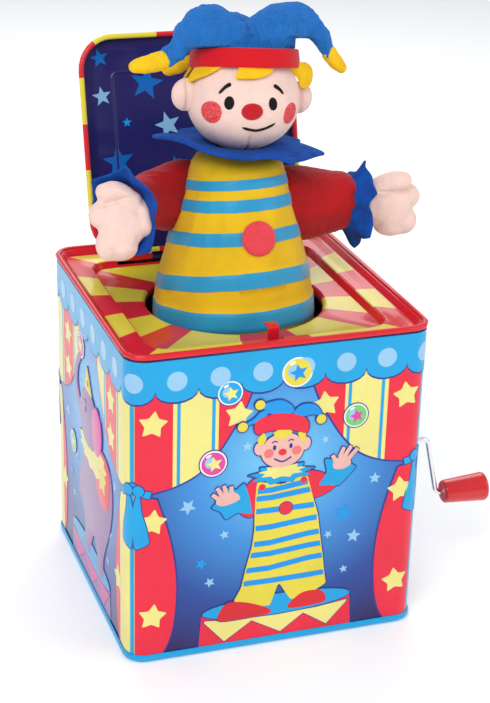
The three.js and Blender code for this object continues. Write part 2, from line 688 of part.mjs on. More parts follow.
function bellyButton() {
  const z = 172;
  const slope = Math.atan2(GOWN.deckR - GOWN.neckR, GOWN.shoulder - GOWN.waist);
  const disc = turned([[0, 0], [7.7, 0], [7.2, 1.2], [0, 1.8]], 20);
  return disc.rotateX(Math.PI / 2 - slope).translate(0, -gownRadius(z) - 0.5, z);
}

// ---- Assembly ----------------------------------------------------------------------------------

piece(toy, 'box_body', boxBody(), LITHO_BLUE);
piece(toy, 'base_pan', basePan(), LITHO_BLUE);
piece(toy, 'top_deck', topDeck(), LITHO_RED);

piece(toy, 'hinge_leaf_deck', hingeLeafDeck(), LITHO_RED);
HINGE_RIVETS_X.forEach((x, i) => piece(toy, `hinge_rivet_${i + 1}`, hingeRivet(x), STEEL));
const pin = bar(PIN_R, -39.5, 39.5, 12).rotateY(Math.PI / 2).translate(0, HINGE_Y, HINGE_Z);
piece(toy, 'hinge_pin', pin, STEEL);
piece(toy, 'lid_shell', opened(lidShell()), LITHO_NAVY);
piece(toy, 'hinge_leaf_lid', opened(hingeLeafLid()), LITHO_NAVY);

const rocker = group(toy, 0, LATCH.y, LATCH.z);
piece(rocker, 'latch_shaft', bar(LATCH.shaftR, -13, 34.5, 12).rotateY(Math.PI / 2), STEEL);
piece(rocker, 'latch_hook', latchHook(), LITHO_RED);
piece(rocker, 'latch_arm', latchArm(), STEEL);
piece(toy, 'latch_bracket_left', latchBracket(LATCH_BRACKETS_X[0]), STEEL);
piece(toy, 'latch_bracket_right', latchBracket(LATCH_BRACKETS_X[1]), STEEL);
piece(toy, 'latch_spring', latchSpring(), STEEL);

const shaft = group(toy, 0, SHAFT.y, SHAFT.z);
piece(shaft, 'crank_rod', crankRod(), CHROME);
piece(shaft, 'worm', worm(), WHITE_NYLON);
piece(shaft, 'shaft_collar', pushNut(FRAME.x1 - FRAME.plate - 2.2, 3), STEEL);
piece(shaft, 'crank_bushing', crankBushing(), WHITE_NYLON);
const handle = group(shaft, 0, 0, -CRANK.radius);
piece(handle, 'knob_retainer', pushNut(KNOB.end - 4.2, 2.8), STEEL);
piece(handle, 'crank_knob', crankKnob(), RED_PLASTIC);
piece(handle, 'knob_cap', knobCap(), RED_PLASTIC);

piece(toy, 'movement_frame', movementFrame(), STEEL);
FRAME_RIVETS.forEach((at, i) => piece(toy, `frame_rivet_${i + 1}`, frameRivet(at), STEEL));
const arbor = group(toy, ARBOR.x, ARBOR.y, 0);
piece(arbor, 'drum_arbor', bar(ARBOR.r, FRAME.low - 0.8, FRAME.high + 0.8, 12), STEEL);
piece(arbor, 'worm_wheel', wormWheel(), WHITE_NYLON);
piece(arbor, 'music_drum', musicDrum(), BRASS);
piece(arbor, 'trip_finger', tripFinger(), STEEL);
piece(toy, 'comb', combPlate(), STEEL);
COMB.screws.forEach((z, i) => piece(toy, `comb_screw_${i + 1}`, combScrew(z), BRASS));

piece(toy, 'spring_seat', springSeat(), STEEL);
const coil = new Helix(SPRING.r, SPRING.low, SPRING.high, SPRING.turns);
piece(toy, 'main_spring', wire(coil, SPRING.wire, 10 * SPRING.turns, 4), STEEL);
piece(toy, 'doll_gown', gown(), GOWN_CLOTH);
piece(toy, 'belly_button', bellyButton(), RED_VELOUR);

piece(toy, 'neck_plug', neckPlug(), WHITE_NYLON);
piece(toy, 'head', headBall(), SKIN_PLUSH);
piece(toy, 'ear_left', ear(-1), SKIN_PLUSH);
piece(toy, 'ear_right', ear(1), SKIN_PLUSH);
piece(toy, 'hair', hair(), YELLOW_FELT);
piece(toy, 'hat_band', hatBand(), RED_VELOUR);
piece(toy, 'hat_crown', hatCrown(), BLUE_VELOUR);
const HORNS = {
  left: { heading: 184, droop: 17, z: 267 },
  right: { heading: -4, droop: 14, z: 267 },
  back: { heading: 118, droop: 22, z: 267 },
};
for (const [name, place] of Object.entries(HORNS)) horn(toy, name, place);
piece(toy, 'collar', collar(), BLUE_VELOUR);
for (const [name, place] of Object.entries(ARMS)) arm(toy, name, place);

export default toy;
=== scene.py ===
"""A jack in the box: lithographed tin box, printed art, chrome crank and a sewn cloth clown.

Shapes are written in millimetres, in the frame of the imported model, and make() turns them into metres.
A panel of the box is drawn flat, in (across, up), and wrapped onto the tin.
"""

import math

import bmesh
import bpy
import numpy as np
from mathutils import Matrix, Vector, noise
from mathutils.geometry import tessellate_polygon


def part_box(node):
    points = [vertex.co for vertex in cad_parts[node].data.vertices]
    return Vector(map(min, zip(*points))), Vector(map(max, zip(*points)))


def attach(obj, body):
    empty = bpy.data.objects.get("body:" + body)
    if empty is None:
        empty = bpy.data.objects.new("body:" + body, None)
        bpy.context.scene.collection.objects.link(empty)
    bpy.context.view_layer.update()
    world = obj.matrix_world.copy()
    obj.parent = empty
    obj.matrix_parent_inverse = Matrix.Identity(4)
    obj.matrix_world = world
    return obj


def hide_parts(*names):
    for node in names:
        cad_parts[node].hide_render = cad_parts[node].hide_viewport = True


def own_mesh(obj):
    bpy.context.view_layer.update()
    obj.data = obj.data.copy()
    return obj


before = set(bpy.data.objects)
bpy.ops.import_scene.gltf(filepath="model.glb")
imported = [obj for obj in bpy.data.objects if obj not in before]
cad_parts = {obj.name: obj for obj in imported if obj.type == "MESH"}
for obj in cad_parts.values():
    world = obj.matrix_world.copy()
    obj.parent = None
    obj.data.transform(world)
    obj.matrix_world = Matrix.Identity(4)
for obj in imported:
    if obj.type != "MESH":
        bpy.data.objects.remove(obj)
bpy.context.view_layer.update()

MM = 0.001
TAU = 2 * math.pi

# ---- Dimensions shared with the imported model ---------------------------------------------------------

BOX_HALF = (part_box("base_pan")[1] / MM).x
RIM_Z = (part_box("top_deck")[1] / MM).z
wall_foot, wall_head = (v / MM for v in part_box("box_body"))
WALL_HALF, WALL_LOW, WALL_TOP = wall_head.x, wall_foot.z, wall_head.z
SHEET = 0.6  # thickness of the tinplate
CORNER_CENTRE = 60.0  # how far the centres of the corners' arcs are from the middle
CORNER_R = WALL_HALF - CORNER_CENTRE
HALF_PANEL = CORNER_CENTRE + CORNER_R * math.pi / 4  # half the printed width of one side
RING_Z = 146.0
DECK_Z = 142.5
HOLE_R = 41.0
HINGE = Vector((0, 55, 146.5))
LID_OPEN = math.radians(105)
LID = {"half_x": 53.75, "half_y": 52.2, "mid_y": 0.7, "low": 143.2, "top": 149.0, "corner": 17.0}
SHAFT_Y, SHAFT_Z = -28.0, 72.0
HEAD = Vector((2, 0, 237.5))
HEAD_R = Vector((25, 24, 24))
HEAD_TURN = math.radians(-10.5)
HEAD_NOD = math.radians(17)

# ---- Materials ---------------------------------------------------------------------------------------


def shader(name, color, rough, metal=0.0, coat=0.0, sheen=0.0, shine=0.5):
    """A Principled material; what is uniform is set on its own sockets."""
    mat = bpy.data.materials.new(name)
    mat.use_nodes = True
    bsdf = mat.node_tree.nodes["Principled BSDF"]
    bsdf.inputs["Base Color"].default_value = (*color, 1)
    bsdf.inputs["Roughness"].default_value = rough
    bsdf.inputs["Metallic"].default_value = metal
    bsdf.inputs["Coat Weight"].default_value = coat
    bsdf.inputs["Coat Roughness"].default_value = 0.08
    bsdf.inputs["Specular IOR Level"].default_value = shine
    bsdf.inputs["Sheen Weight"].default_value = sheen
    bsdf.inputs["Sheen Roughness"].default_value = 0.45
    return mat, mat.node_tree, bsdf


def node(tree, kind, links=None, **values):
    """A node with its properties or input values set; links maps an input to an output socket."""
    made = tree.nodes.new("ShaderNode" + kind)
    for key, value in values.items():
        if key in made.inputs:
            made.inputs[key].default_value = value
        else:
            setattr(made, key, value)
    for key, socket in (links or {}).items():
        tree.links.new(socket, made.inputs[key])
    return made


def place(tree, stretch=(1, 1, 1)):
    """Object coordinates in millimetres, stretched."""
    coord = node(tree, "TexCoord")
    scaled = node(tree, "Mapping", {"Vector": coord.outputs["Object"]})
    scaled.inputs["Scale"].default_value = [1000 * s for s in stretch]
    return scaled.outputs["Vector"]


def ramp(tree, factor, stops):
    """A colour ramp from (position, colour) stops."""
    made = node(tree, "ValToRGB", {"Fac": factor})
    points = made.color_ramp.elements
    while len(points) < len(stops):
        points.new(0.5)
    for point, (at, color) in zip(points, stops):
        point.position = at
        point.color = (*color, 1)
    return made.outputs["Color"]


def darker(color, share):
    return tuple(c * share for c in color)


def bumped(tree, bsdf, height, depth):
    """Raises the surface by a height from 0 to 1, to a depth in millimetres."""
    made = node(tree, "Bump", {"Height": height}, Strength=1.0, Distance=depth * MM)
    tree.links.new(made.outputs["Normal"], bsdf.inputs["Normal"])


def tinted(tree, bsdf, factor, stops):
    """Colours a material by a ramp over a factor."""
    tree.links.new(ramp(tree, factor, stops), bsdf.inputs["Base Color"])


def cloud(tree, where, scale, detail, **more):
    """Noise from 0 to 1, its features about 1 / scale millimetres wide."""
    return node(tree, "TexNoise", {"Vector": where}, Scale=scale, Detail=detail, **more).outputs["Fac"]


LACQUERED = {"rough": 0.3, "coat": 0.35, "shine": 0.25}


def litho(name, color):
    """Ink under clear lacquer on tin: glossy, with a faint unevenness."""
    mat, tree, bsdf = shader("litho_" + name, color, **LACQUERED)
    where = place(tree)
    tinted(tree, bsdf, cloud(tree, where, 0.05, 3.0), [(0.35, darker(color, 0.93)), (0.65, color)])
    bumped(tree, bsdf, cloud(tree, where, 0.6, 2.0), 0.02)
    return mat


SKY_MIDDLE, SKY_REACH = 92, 108  # the height of the lightest spot and how far the night is from it
SKY_STOPS = [(0.0, (0.19, 0.60, 0.88)), (0.36, (0.045, 0.27, 0.66)), (0.66, (0.016, 0.065, 0.31)),
             (0.92, (0.02, 0.008, 0.10))]


def sky():
    """The panels' ground: light blue in the middle of each side, indigo in its corners."""
    mat, tree, bsdf = shader("litho_sky", (0.10, 0.42, 0.78), **LACQUERED)
    axes = node(tree, "SeparateXYZ", {"Vector": node(tree, "TexCoord").outputs["Object"]})
    sides = [node(tree, "Math", {0: axes.outputs[a]}, operation="ABSOLUTE") for a in "XY"]
    across = node(tree, "Math", {i: s.outputs[0] for i, s in enumerate(sides)}, operation="MINIMUM")
    up = node(tree, "Math", {0: axes.outputs["Z"]}, operation="SUBTRACT")
    up.inputs[1].default_value = SKY_MIDDLE * MM
    flat = node(tree, "CombineXYZ", {"X": across.outputs[0], "Y": up.outputs[0]})
    away = node(tree, "VectorMath", {0: flat.outputs[0]}, operation="LENGTH")
    share = node(tree, "Math", {0: away.outputs["Value"]}, operation="MULTIPLY")
    share.inputs[1].default_value = 1 / (SKY_REACH * MM)
    tinted(tree, bsdf, share.outputs[0], SKY_STOPS)
    return mat


def metal(name, color, rough, scratches=0.0):
    """Bare metal, its gloss uneven, with long scratches if asked."""
    mat, tree, bsdf = shader(name, color, rough, metal=1.0)
    dull = [(0.3, (rough * 0.8,) * 3), (0.7, (rough * 1.25,) * 3)]
    span = ramp(tree, cloud(tree, place(tree), 0.3, 4.0), dull)
    tree.links.new(span, bsdf.inputs["Roughness"])
    if scratches:
        bumped(tree, bsdf, cloud(tree, place(tree, (1, 1, 0.05)), 2.0, 2.0), scratches)
    return mat


def plastic(name, color, rough):
    mat, tree, bsdf = shader(name, color, rough, coat=0.3)
    tinted(tree, bsdf, cloud(tree, place(tree), 0.15, 2.0), [(0.3, darker(color, 0.95)), (0.7, color)])
    return mat


def pile(name, color, ribs=0.0, depth=0.25, dark=0.62):
    """Velour, plush or felt: matte, sheeny, mottled where the pile leans, ribbed if asked, with a painted
    highlight on each rib and painted shade in its grooves.
    """
    mat, tree, bsdf = shader(name, color, 0.92, sheen=0.22, shine=0.2)
    bsdf.inputs["Sheen Tint"].default_value = (*[min(1, c * 1.3 + 0.08) for c in color], 1)
    where = place(tree)
    shade = cloud(tree, where, 0.16, 5.0, Roughness=0.65)
    height = cloud(tree, where, 2.2, 3.0)
    if ribs:
        wave = node(tree, "TexWave", {"Vector": where}, Scale=ribs, Distortion=1.5, bands_direction="X")
        wave.inputs["Detail Scale"].default_value = 0.6
        # Painted light: the ribs lift the colour along each rib and darken it in the grooves between, a
        # painted highlight and painted shade.
        rib_light_and_shade = node(tree, "Math", {0: wave.outputs["Fac"], 2: shade}, operation="MULTIPLY_ADD")
        rib_light_and_shade.inputs[1].default_value = 0.16
        shade = rib_light_and_shade.outputs[0]
        height = node(tree, "Math", {0: height, 1: wave.outputs["Fac"]}, operation="ADD").outputs[0]
    tinted(tree, bsdf, shade, [(0.32, darker(color, dark)), (0.56, color)])
    bumped(tree, bsdf, height, depth)
    return mat


def woven(name, color, pitch=0.55, depth=0.05, rough=0.75, sheen=0.15, dark=0.86):
    """Plain cloth: crossed threads over a soft unevenness."""
    mat, tree, bsdf = shader(name, color, rough, sheen=sheen, shine=0.2)
    where = place(tree)
    tinted(tree, bsdf, cloud(tree, where, 0.07, 4.0), [(0.3, darker(color, dark)), (0.62, color)])
    threads = [
        node(tree, "TexWave", {"Vector": where}, Scale=0.32 / pitch, Distortion=0.6, bands_direction=d)
        for d in ("DIAGONAL", "Z")
    ]
    crossed = node(tree, "Math", {i: t.outputs["Fac"] for i, t in enumerate(threads)}, operation="MAXIMUM")
    bumped(tree, bsdf, crossed.outputs[0], depth)
    return mat


def stippled(name, color, between):
    """Loose stitches in one colour with the cloth showing between them."""
    mat, tree, bsdf = shader(name, color, 0.7, shine=0.2)
    grain = cloud(tree, place(tree), 2.4, 1.0)
    tinted(tree, bsdf, grain, [(0.48, color), (0.60, between)])
    bumped(tree, bsdf, grain, 0.15)
    return mat


LITHO_COLORS = {
    "cyan": (0.0, 0.36, 0.72), "dot": (0.30, 0.57, 0.80), "navy": (0.022, 0.028, 0.26),
    "coral": (0.82, 0.014, 0.045), "cream": (0.85, 0.76, 0.23), "red": (0.70, 0.012, 0.022),
    "yellow": (0.79, 0.66, 0.05), "lid_navy": (0.012, 0.012, 0.115), "star_blue": (0.0, 0.12, 0.45),
    "star_cyan": (0.0, 0.30, 0.76), "star_light": (0.22, 0.47, 0.74), "green": (0.17, 0.62, 0.16),
    "magenta": (0.72, 0.06, 0.33), "mauve": (0.30, 0.15, 0.36), "blush": (0.84, 0.19, 0.18),
    "pink": (0.85, 0.47, 0.40), "white": (0.86, 0.87, 0.84),
}
INK = {
    "sky": sky(),
    **{name: litho(name, color) for name, color in LITHO_COLORS.items()},
    "lining": metal("tin_lining", (0.62, 0.56, 0.42), 0.38),
    "chrome": metal("chrome", (0.80, 0.81, 0.83), 0.09),
    "steel": metal("steel", (0.52, 0.53, 0.55), 0.33, scratches=0.02),
    "spring": metal("spring_steel", (0.42, 0.43, 0.46), 0.28),
    "brass": metal("brass", (0.70, 0.48, 0.18), 0.3, scratches=0.02),
    "nylon": plastic("nylon", (0.78, 0.76, 0.69), 0.45),
    "knob": plastic("knob_red", (0.66, 0.010, 0.016), 0.18),
    "gown": woven("gown_cloth", (0.80, 0.50, 0.010)),
    "ribbon": woven("gown_ribbon", (0.025, 0.32, 0.57), pitch=0.35, depth=0.02, rough=0.32, sheen=0.3),
    "sleeve": woven("sleeve_cloth", (0.44, 0.003, 0.006), pitch=0.4, rough=0.7, dark=0.7),
    "velour": pile("blue_velour", (0.006, 0.070, 0.37)),
    "hat": pile("blue_rib_velour", (0.022, 0.19, 0.60), ribs=0.32, depth=0.42),
    "band": woven("band_cloth", (0.62, 0.004, 0.012), pitch=0.4, depth=0.03, dark=0.93),
    "felt": pile("yellow_felt", (0.88, 0.53, 0.012), depth=0.15, dark=0.85),
    "skin": pile("skin_plush", (0.86, 0.61, 0.53), depth=0.12, dark=0.92),
    "coral_satin": woven("coral_satin", (0.80, 0.055, 0.075), pitch=0.5, depth=0.08, rough=0.4, sheen=0.3),
    "nose_satin": woven("nose_satin", (0.60, 0.004, 0.012), pitch=0.45, depth=0.1, rough=0.4, sheen=0.3),
    "cheek": stippled("cheek_thread", (0.62, 0.02, 0.035), (0.80, 0.17, 0.16)),
    "thread": woven("black_thread", (0.004, 0.004, 0.005), pitch=0.4, depth=0.1, rough=0.6, sheen=0.0),
}

# ---- Mesh helpers ------------------------------------------------------------------------------------


def make(name, points, faces, inks, face_inks=None, sharp=40, body="box", replaces=(), slot=None):
    """A smooth-shaded mesh object from millimetre points; face_inks are indices into inks."""
    mesh = bpy.data.meshes.new(name)
    mesh.from_pydata([tuple(float(c) * MM for c in p) for p in points], [], [tuple(f) for f in faces])
    inks = [inks] if isinstance(inks, str) else list(inks)
    for ink in inks:
        mesh.materials.append(INK[ink])
    if face_inks is not None:
        mesh.polygons.foreach_set("material_index", np.asarray(face_inks, np.int32))
    mesh.polygons.foreach_set("use_smooth", np.ones(len(mesh.polygons), bool))
    tidy = bmesh.new()
    tidy.from_mesh(mesh)
    bmesh.ops.recalc_face_normals(tidy, faces=tidy.faces)
    tidy.to_mesh(mesh)
    tidy.free()
    mesh.set_sharp_from_angle(angle=math.radians(sharp))
    made = bpy.data.objects.new(name, mesh)
    bpy.context.scene.collection.objects.link(made)
    finish_piece(made, body, replaces, slot)
    return made


def finish_piece(made, body, replaces=(), slot=None):
    """Says which body a piece rides and what it stands for; slot, its finish, is not used."""
    if body:
        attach(made, body)
    if replaces:
        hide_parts(*replaces)


def loft_faces(rows, columns, caps=(False, False)):
    """Quads between rows of points, each row a closed ring; caps fill the first and the last ring."""
    faces = []
    for i in range(rows - 1):
        for j in range(columns):
            k = (j + 1) % columns
            faces.append((i * columns + j, i * columns + k, (i + 1) * columns + k, (i + 1) * columns + j))
    if caps[0]:
        faces.append(tuple(range(columns)))
    if caps[1]:
        faces.append(tuple(range((rows - 1) * columns, rows * columns)))
    return faces


def closed_loft(rows, columns):
    """Quads between rings whose last one joins the first."""
    last = (rows - 1) * columns
    join = [(last + j, last + (j + 1) % columns, (j + 1) % columns, j) for j in range(columns)]
    return loft_faces(rows, columns) + join


def flatten(rings):
    return [p for ring in rings for p in ring]


def lofted(name, rings, inks, caps=(True, True), **say):
    """A piece lofted through rings of equal length, its ends closed."""
    return make(name, flatten(rings), loft_faces(len(rings), len(rings[0]), caps), inks, **say)


def clamp(x):
    """A share kept from 0 to 1."""
    return min(1, max(0, x))


def bell(x):
    """1 at 0, falling to about a third at 1 and to nothing beyond 2."""
    return math.exp(-x ** 2)


def turned(profile, steps=48):
    """Rings of a profile of (radius, height) about Z."""
    angles = [TAU * i / steps for i in range(steps)]
    return [[Vector((r * math.cos(a), r * math.sin(a), h)) for a in angles] for r, h in profile]


def along_x(rings, at):
    """Turned rings laid along +X from a point."""
    return [[Vector((p.z, p.x, p.y)) + Vector(at) for p in ring] for ring in rings]


def along_z(rings, at):
    return [[p + Vector(at) for p in ring] for ring in rings]


def turned_piece(name, profile, at, ink, steps=48, lay=along_x, **say):
    """A solid of revolution laid along an axis, its ends capped where the profile leaves the axis."""
    return lofted(name, lay(turned(profile, steps), at), ink, **say)


def corner_arc(start, at, end, steps):
    """Points of a quadratic arc from start to end, drawn towards a corner."""
    shares = [i / steps for i in range(steps + 1)]
    return [(1 - t) ** 2 * start + 2 * t * (1 - t) * at + t * t * end for t in shares]


def rounded(profile, r, steps=4):
    """A profile with its corners rounded by quadratic arcs of size r."""
    out = [profile[0]]
    for before, at, after in zip(profile, profile[1:], profile[2:]):
        at, before, after = Vector(at), Vector(before), Vector(after)
        reach = [min(r, (other - at).length * 0.45) for other in (before, after)]
        start = at + (before - at).normalized() * reach[0]
        end = at + (after - at).normalized() * reach[1]
        out += [tuple(p) for p in corner_arc(start, at, end, steps)]
    return out + [profile[-1]]


def way_at(path, i):
    """The direction of a path at its point i."""
    return (path[min(i + 1, len(path) - 1)] - path[max(i - 1, 0)]).normalized()


def tube(path, radius, sides):
    """Rings round a path, without twist; radius may be a function of the share along it."""
    rings = []
    side = way_at(path, 0).orthogonal().normalized()
    for i, point in enumerate(path):
        ahead = way_at(path, i)
        side = (side - ahead * side.dot(ahead)).normalized()
        up = ahead.cross(side)
        r = radius(i / (len(path) - 1)) if callable(radius) else radius
        rings.append([point + side * r * math.cos(TAU * j / sides) + up * r * math.sin(TAU * j / sides)
                      for j in range(sides)])
    return rings


def flowing(a, b, c, d, steps):
    """Catmull-Rom points from b on to c, without c itself."""
    shares = [i / steps for i in range(steps)]
    return [0.5 * (2 * b + (c - a) * t + (2 * a - 5 * b + 4 * c - d) * t * t
                   + (3 * b - a - 3 * c + d) * t ** 3) for t in shares]


def smooth_path(points, steps=8):
    """A flowing curve through points, from the first to the last."""
    points = [Vector(p) for p in points]
    padded = [2 * points[0] - points[1], *points, 2 * points[-1] - points[-2]]
    out = []
    for four in zip(padded, padded[1:], padded[2:], padded[3:]):
        out += flowing(*four, steps)
    return out + [points[-1]]


def square_columns(half_x, half_y, corner, corner_steps=8, spacing=6.0):
    """Columns round a rounded rectangle: (centre x, centre y, normal x, normal y, length so far)."""
    columns = []
    length = 0.0
    for quarter in range(4):
        a0 = quarter * math.pi / 2
        sx, sy = [(1, 1), (-1, 1), (-1, -1), (1, -1)][quarter]
        cx, cy = sx * (half_x - corner), sy * (half_y - corner)
        for i in range(corner_steps + 1):
            a = a0 + i / corner_steps * math.pi / 2
            columns.append((cx, cy, math.cos(a), math.sin(a), length))
            length += corner * math.pi / 2 / corner_steps if i < corner_steps else 0
        nx, ny = round(math.cos(a0 + math.pi / 2)), round(math.sin(a0 + math.pi / 2))
        run = 2 * (half_x - corner) if quarter % 2 == 0 else 2 * (half_y - corner)
        tx, ty = -ny, nx
        count = max(1, round(run / spacing))
        for i in range(1, count):
            s = run * i / count
            columns.append((cx + tx * s, cy + ty * s, nx, ny, length + s))
        length += run
    return columns, length


def square_rings(columns, rows, corner):
    """Rings of (inset, z) rows over square_columns."""
    return [[Vector((cx + nx * (corner - inset), cy + ny * (corner - inset), z))
             for cx, cy, nx, ny, _ in columns] for inset, z in rows]


def bead(cx, cy, r, start, end, steps=8):
    """Points of an arc, angles in degrees, as (inset or half, z) pairs."""
    angles = [math.radians(start + (end - start) * i / steps) for i in range(steps + 1)]
    return [(cx + r * math.cos(a), cy + r * math.sin(a)) for a in angles]


# ---- Tin box -----------------------------------------------------------------------------------------


def tin_walls():
    """The four-sided sleeve: printed outside, lacquered inside."""
    columns, _ = square_columns(WALL_HALF, WALL_HALF, CORNER_R, spacing=12)
    outside = [(0, WALL_LOW), (0, 40), (0, 80), (0, 120), (0, WALL_TOP)]
    inside = [(SHEET, WALL_TOP), (SHEET, 80), (SHEET, WALL_LOW)]
    faces = closed_loft(len(outside + inside), len(columns))
    printed = (len(outside) - 1) * len(columns)
    inks = [0 if i < printed else 1 for i in range(len(faces))]
    rings = square_rings(columns, outside + inside, CORNER_R)
    make("tin_walls", flatten(rings), faces, ["sky", "lining"], inks, replaces=["box_body"],
         slot="litho_walls")


def base_tin():
    """The bottom pan with its rolled foot bead."""
    corner = BOX_HALF - CORNER_CENTRE
    columns, _ = square_columns(BOX_HALF, BOX_HALF, corner, spacing=12)
    foot = [(1.6 - 1.6 * math.sin(a), 1.8 - 1.8 * math.cos(a))
            for a in (math.pi / 2 * i / 6 for i in range(7))]
    rows = [(12, 0.0), *foot, (0, 1.9), (0.15, 2.9), (0.45, 3.5), (0.7, 3.6), (0.72, 1.0), (12, 1.0)]
    rings = square_rings(columns, [(min(i, corner - 0.01), z) for i, z in rows[1:-1]], corner)
    rings = [[p * 0.9 for p in rings[0]], *rings, [Vector((p.x * 0.9, p.y * 0.9, 1.0)) for p in rings[-1]]]
    lofted("base_tin", rings, "cyan", replaces=["base_pan"], slot="foot_pan")


RAYS = [11.3, 30.7, 46, 75, 105, 134, 149.3, 168.7]  # degrees from +X where the sunburst changes colour
RAY_EDGES = [-a for a in reversed(RAYS)] + RAYS


def ray_is_red(angle):
    """True where the printed sunburst is red; colours alternate from red round +X."""
    crossed = sum(1 for edge in RAYS if edge < abs(angle))
    return crossed % 2 == 0


def square_radius(angle, half, centre):
    """How far a rounded square reaches in a direction; centre is where its corners' arcs have theirs."""
    c, s = abs(math.cos(angle)), abs(math.sin(angle))
    flat = half / max(c, s)
    if min(c, s) * flat <= centre:
        return flat
    along = centre * (c + s)
    return along + math.sqrt(max(0, along * along - 2 * centre * centre + (half - centre) ** 2))


def boolean_cut(target, cutters):
    """The target's mesh with every cutter box taken out of it."""
    for low, high in cutters:
        bpy.ops.mesh.primitive_cube_add(size=1)
        box = bpy.context.object
        box.location = [(a + b) / 2 * MM for a, b in zip(low, high)]
        box.scale = [(b - a) * MM for a, b in zip(low, high)]
        bpy.context.view_layer.update()
        modifier = target.modifiers.new("cut", "BOOLEAN")
        modifier.object = box
        modifier.solver = "MANIFOLD"
        bake_modifiers(target)
        bpy.data.objects.remove(box)


def bake_modifiers(target):
    """Replaces a mesh by what its modifiers make of it."""
    graph = bpy.context.evaluated_depsgraph_get()
    baked = bpy.data.meshes.new_from_object(target.evaluated_get(graph))
    target.modifiers.clear()
    target.data = baked


def deck():
    """Rim bead, sloped side, printed ring, step and sunken deck round the hole, in one pressing."""
    rim = bead(BOX_HALF - 1.4, RIM_Z - 1.4, 1.4, -90, 170, 12)
    outer = [*rim, (66.6, 148.6), (65.3, 146.3), (64.8, RING_Z)]
    ring = [(64, RING_Z), (60, RING_Z)]
    step = [(56.6, RING_Z), (55.9, 145.8), (54.1, 142.9), (53.5, DECK_Z)]
    lip = [(HOLE_R + 2.2, DECK_Z), (HOLE_R + 1.2, DECK_Z - 0.15), (HOLE_R + 0.4, DECK_Z - 0.7),
           (HOLE_R, DECK_Z - 1.6), (HOLE_R, 138.9), (HOLE_R + SHEET, 138.9), (HOLE_R + SHEET, 141.3),
           (HOLE_R + 1.6, DECK_Z - SHEET)]
    under = [(53.2, DECK_Z - SHEET), (55.4, RING_Z - SHEET)]
    under_ring = [(64.6, RING_Z - SHEET), (67.2, RIM_Z - 1.9), (67.6, RIM_Z - 2.8)]
    angles = sorted({math.radians(a) for a in [*range(-180, 180, 3), *RAY_EDGES]})
    rings = []
    for rows, centre in ((outer + ring, CORNER_CENTRE), (step, 45), (lip, None), (under, 45),
                         (under_ring, CORNER_CENTRE)):
        for half, z in rows:
            reach = [half if centre is None else square_radius(a, half, centre) for a in angles]
            rings.append([Vector((r * math.cos(a), r * math.sin(a), z)) for r, a in zip(reach, angles)])
    faces = closed_loft(len(rings), len(angles))
    printed_from = len(outer) - 1
    printed_to = len(outer) + len(ring) + len(step) + 3
    inks = []
    for i in range(len(faces)):
        row, column = divmod(i, len(angles))
        just_past = math.degrees(angles[column]) + 1e-3
        inks.append(1 if printed_from <= row < printed_to and not ray_is_red(just_past) else 0)
    top = make("deck", flatten(rings), faces, ["red", "yellow"], inks, body=None)
    boolean_cut(top, [((-3.6, -57.9, 138), (3.6, -53, 150)), ((-41, 52.6, 143.6), (41, 58.6, 147))])
    top.data.set_sharp_from_angle(angle=math.radians(40))
    finish_piece(top, "box", ["top_deck"], "litho_deck")


# ---- Lid ---------------------------------------------------------------------------------------------


def swung(p):
    """A point of the closed lid, swung up about the hinge pin."""
    return Matrix.Rotation(-LID_OPEN, 4, "X") @ (p - HINGE) + HINGE


def opened(rings):
    return [[swung(p) for p in ring] for ring in rings]


# Where the rolled edge changes between red and yellow, on either side of the middle of the free edge.
LID_BEAD_ENDS = (16.1, 45.4, 66.6, 88.5, 110.6, 132.6, 154.6, 176.6)


def lid_rings(rows, columns):
    rings = square_rings(columns, rows, LID["corner"])
    return [[p + Vector((0, LID["mid_y"], 0)) for p in ring] for ring in rings]


def lid_tin():
    """A shallow pan whose rolled edge is printed in red and yellow lengths."""
    columns, total = square_columns(LID["half_x"], LID["half_y"], LID["corner"], spacing=2.75)
    low, top = LID["low"], LID["top"]
    r = 1.25
    rolled = bead(r, low + r, r, 90, 360, 14)
    flat = [(8.5, top), (3.2, top), (2.2, top - 0.25), (1.6, top - 0.9)]
    rows = [*flat, *rolled, (2.0, low + 2.4), (2.0, top - 1.3), (2.9, top - SHEET), (8.5, top - SHEET)]
    rings = opened(lid_rings(rows, columns))
    count = len(columns)
    faces = loft_faces(len(rings), count, caps=(True, True))
    arc = LID["corner"] * TAU / 4
    free_edge = 3 * arc + 3 * (LID["half_x"] - LID["corner"]) + 2 * (LID["half_y"] - LID["corner"])
    lengths = [c[4] for c in columns] + [total]
    first = len(flat) - 1
    inks = []
    for i in range(len(faces)):
        row, column = divmod(i, count)
        if not first <= row < first + len(rolled):
            inks.append(0)
            continue
        middle = (lengths[column] + lengths[column + 1]) / 2
        away = abs((middle - free_edge + total / 2) % total - total / 2)
        inks.append(1 + sum(away > end for end in LID_BEAD_ENDS) % 2)
    make("lid_tin", flatten(rings), faces, ["lid_navy", "red", "yellow"], inks,
         body="lid", replaces=["lid_shell"], slot="litho_lid")


# ---- Flat art, wrapped onto tin ----------------------------------------------------------------------


TOP_LEVELS, TOP_STEP = 16, 0.002  # tops are spread a little, so that no two overlapping ones share a plane


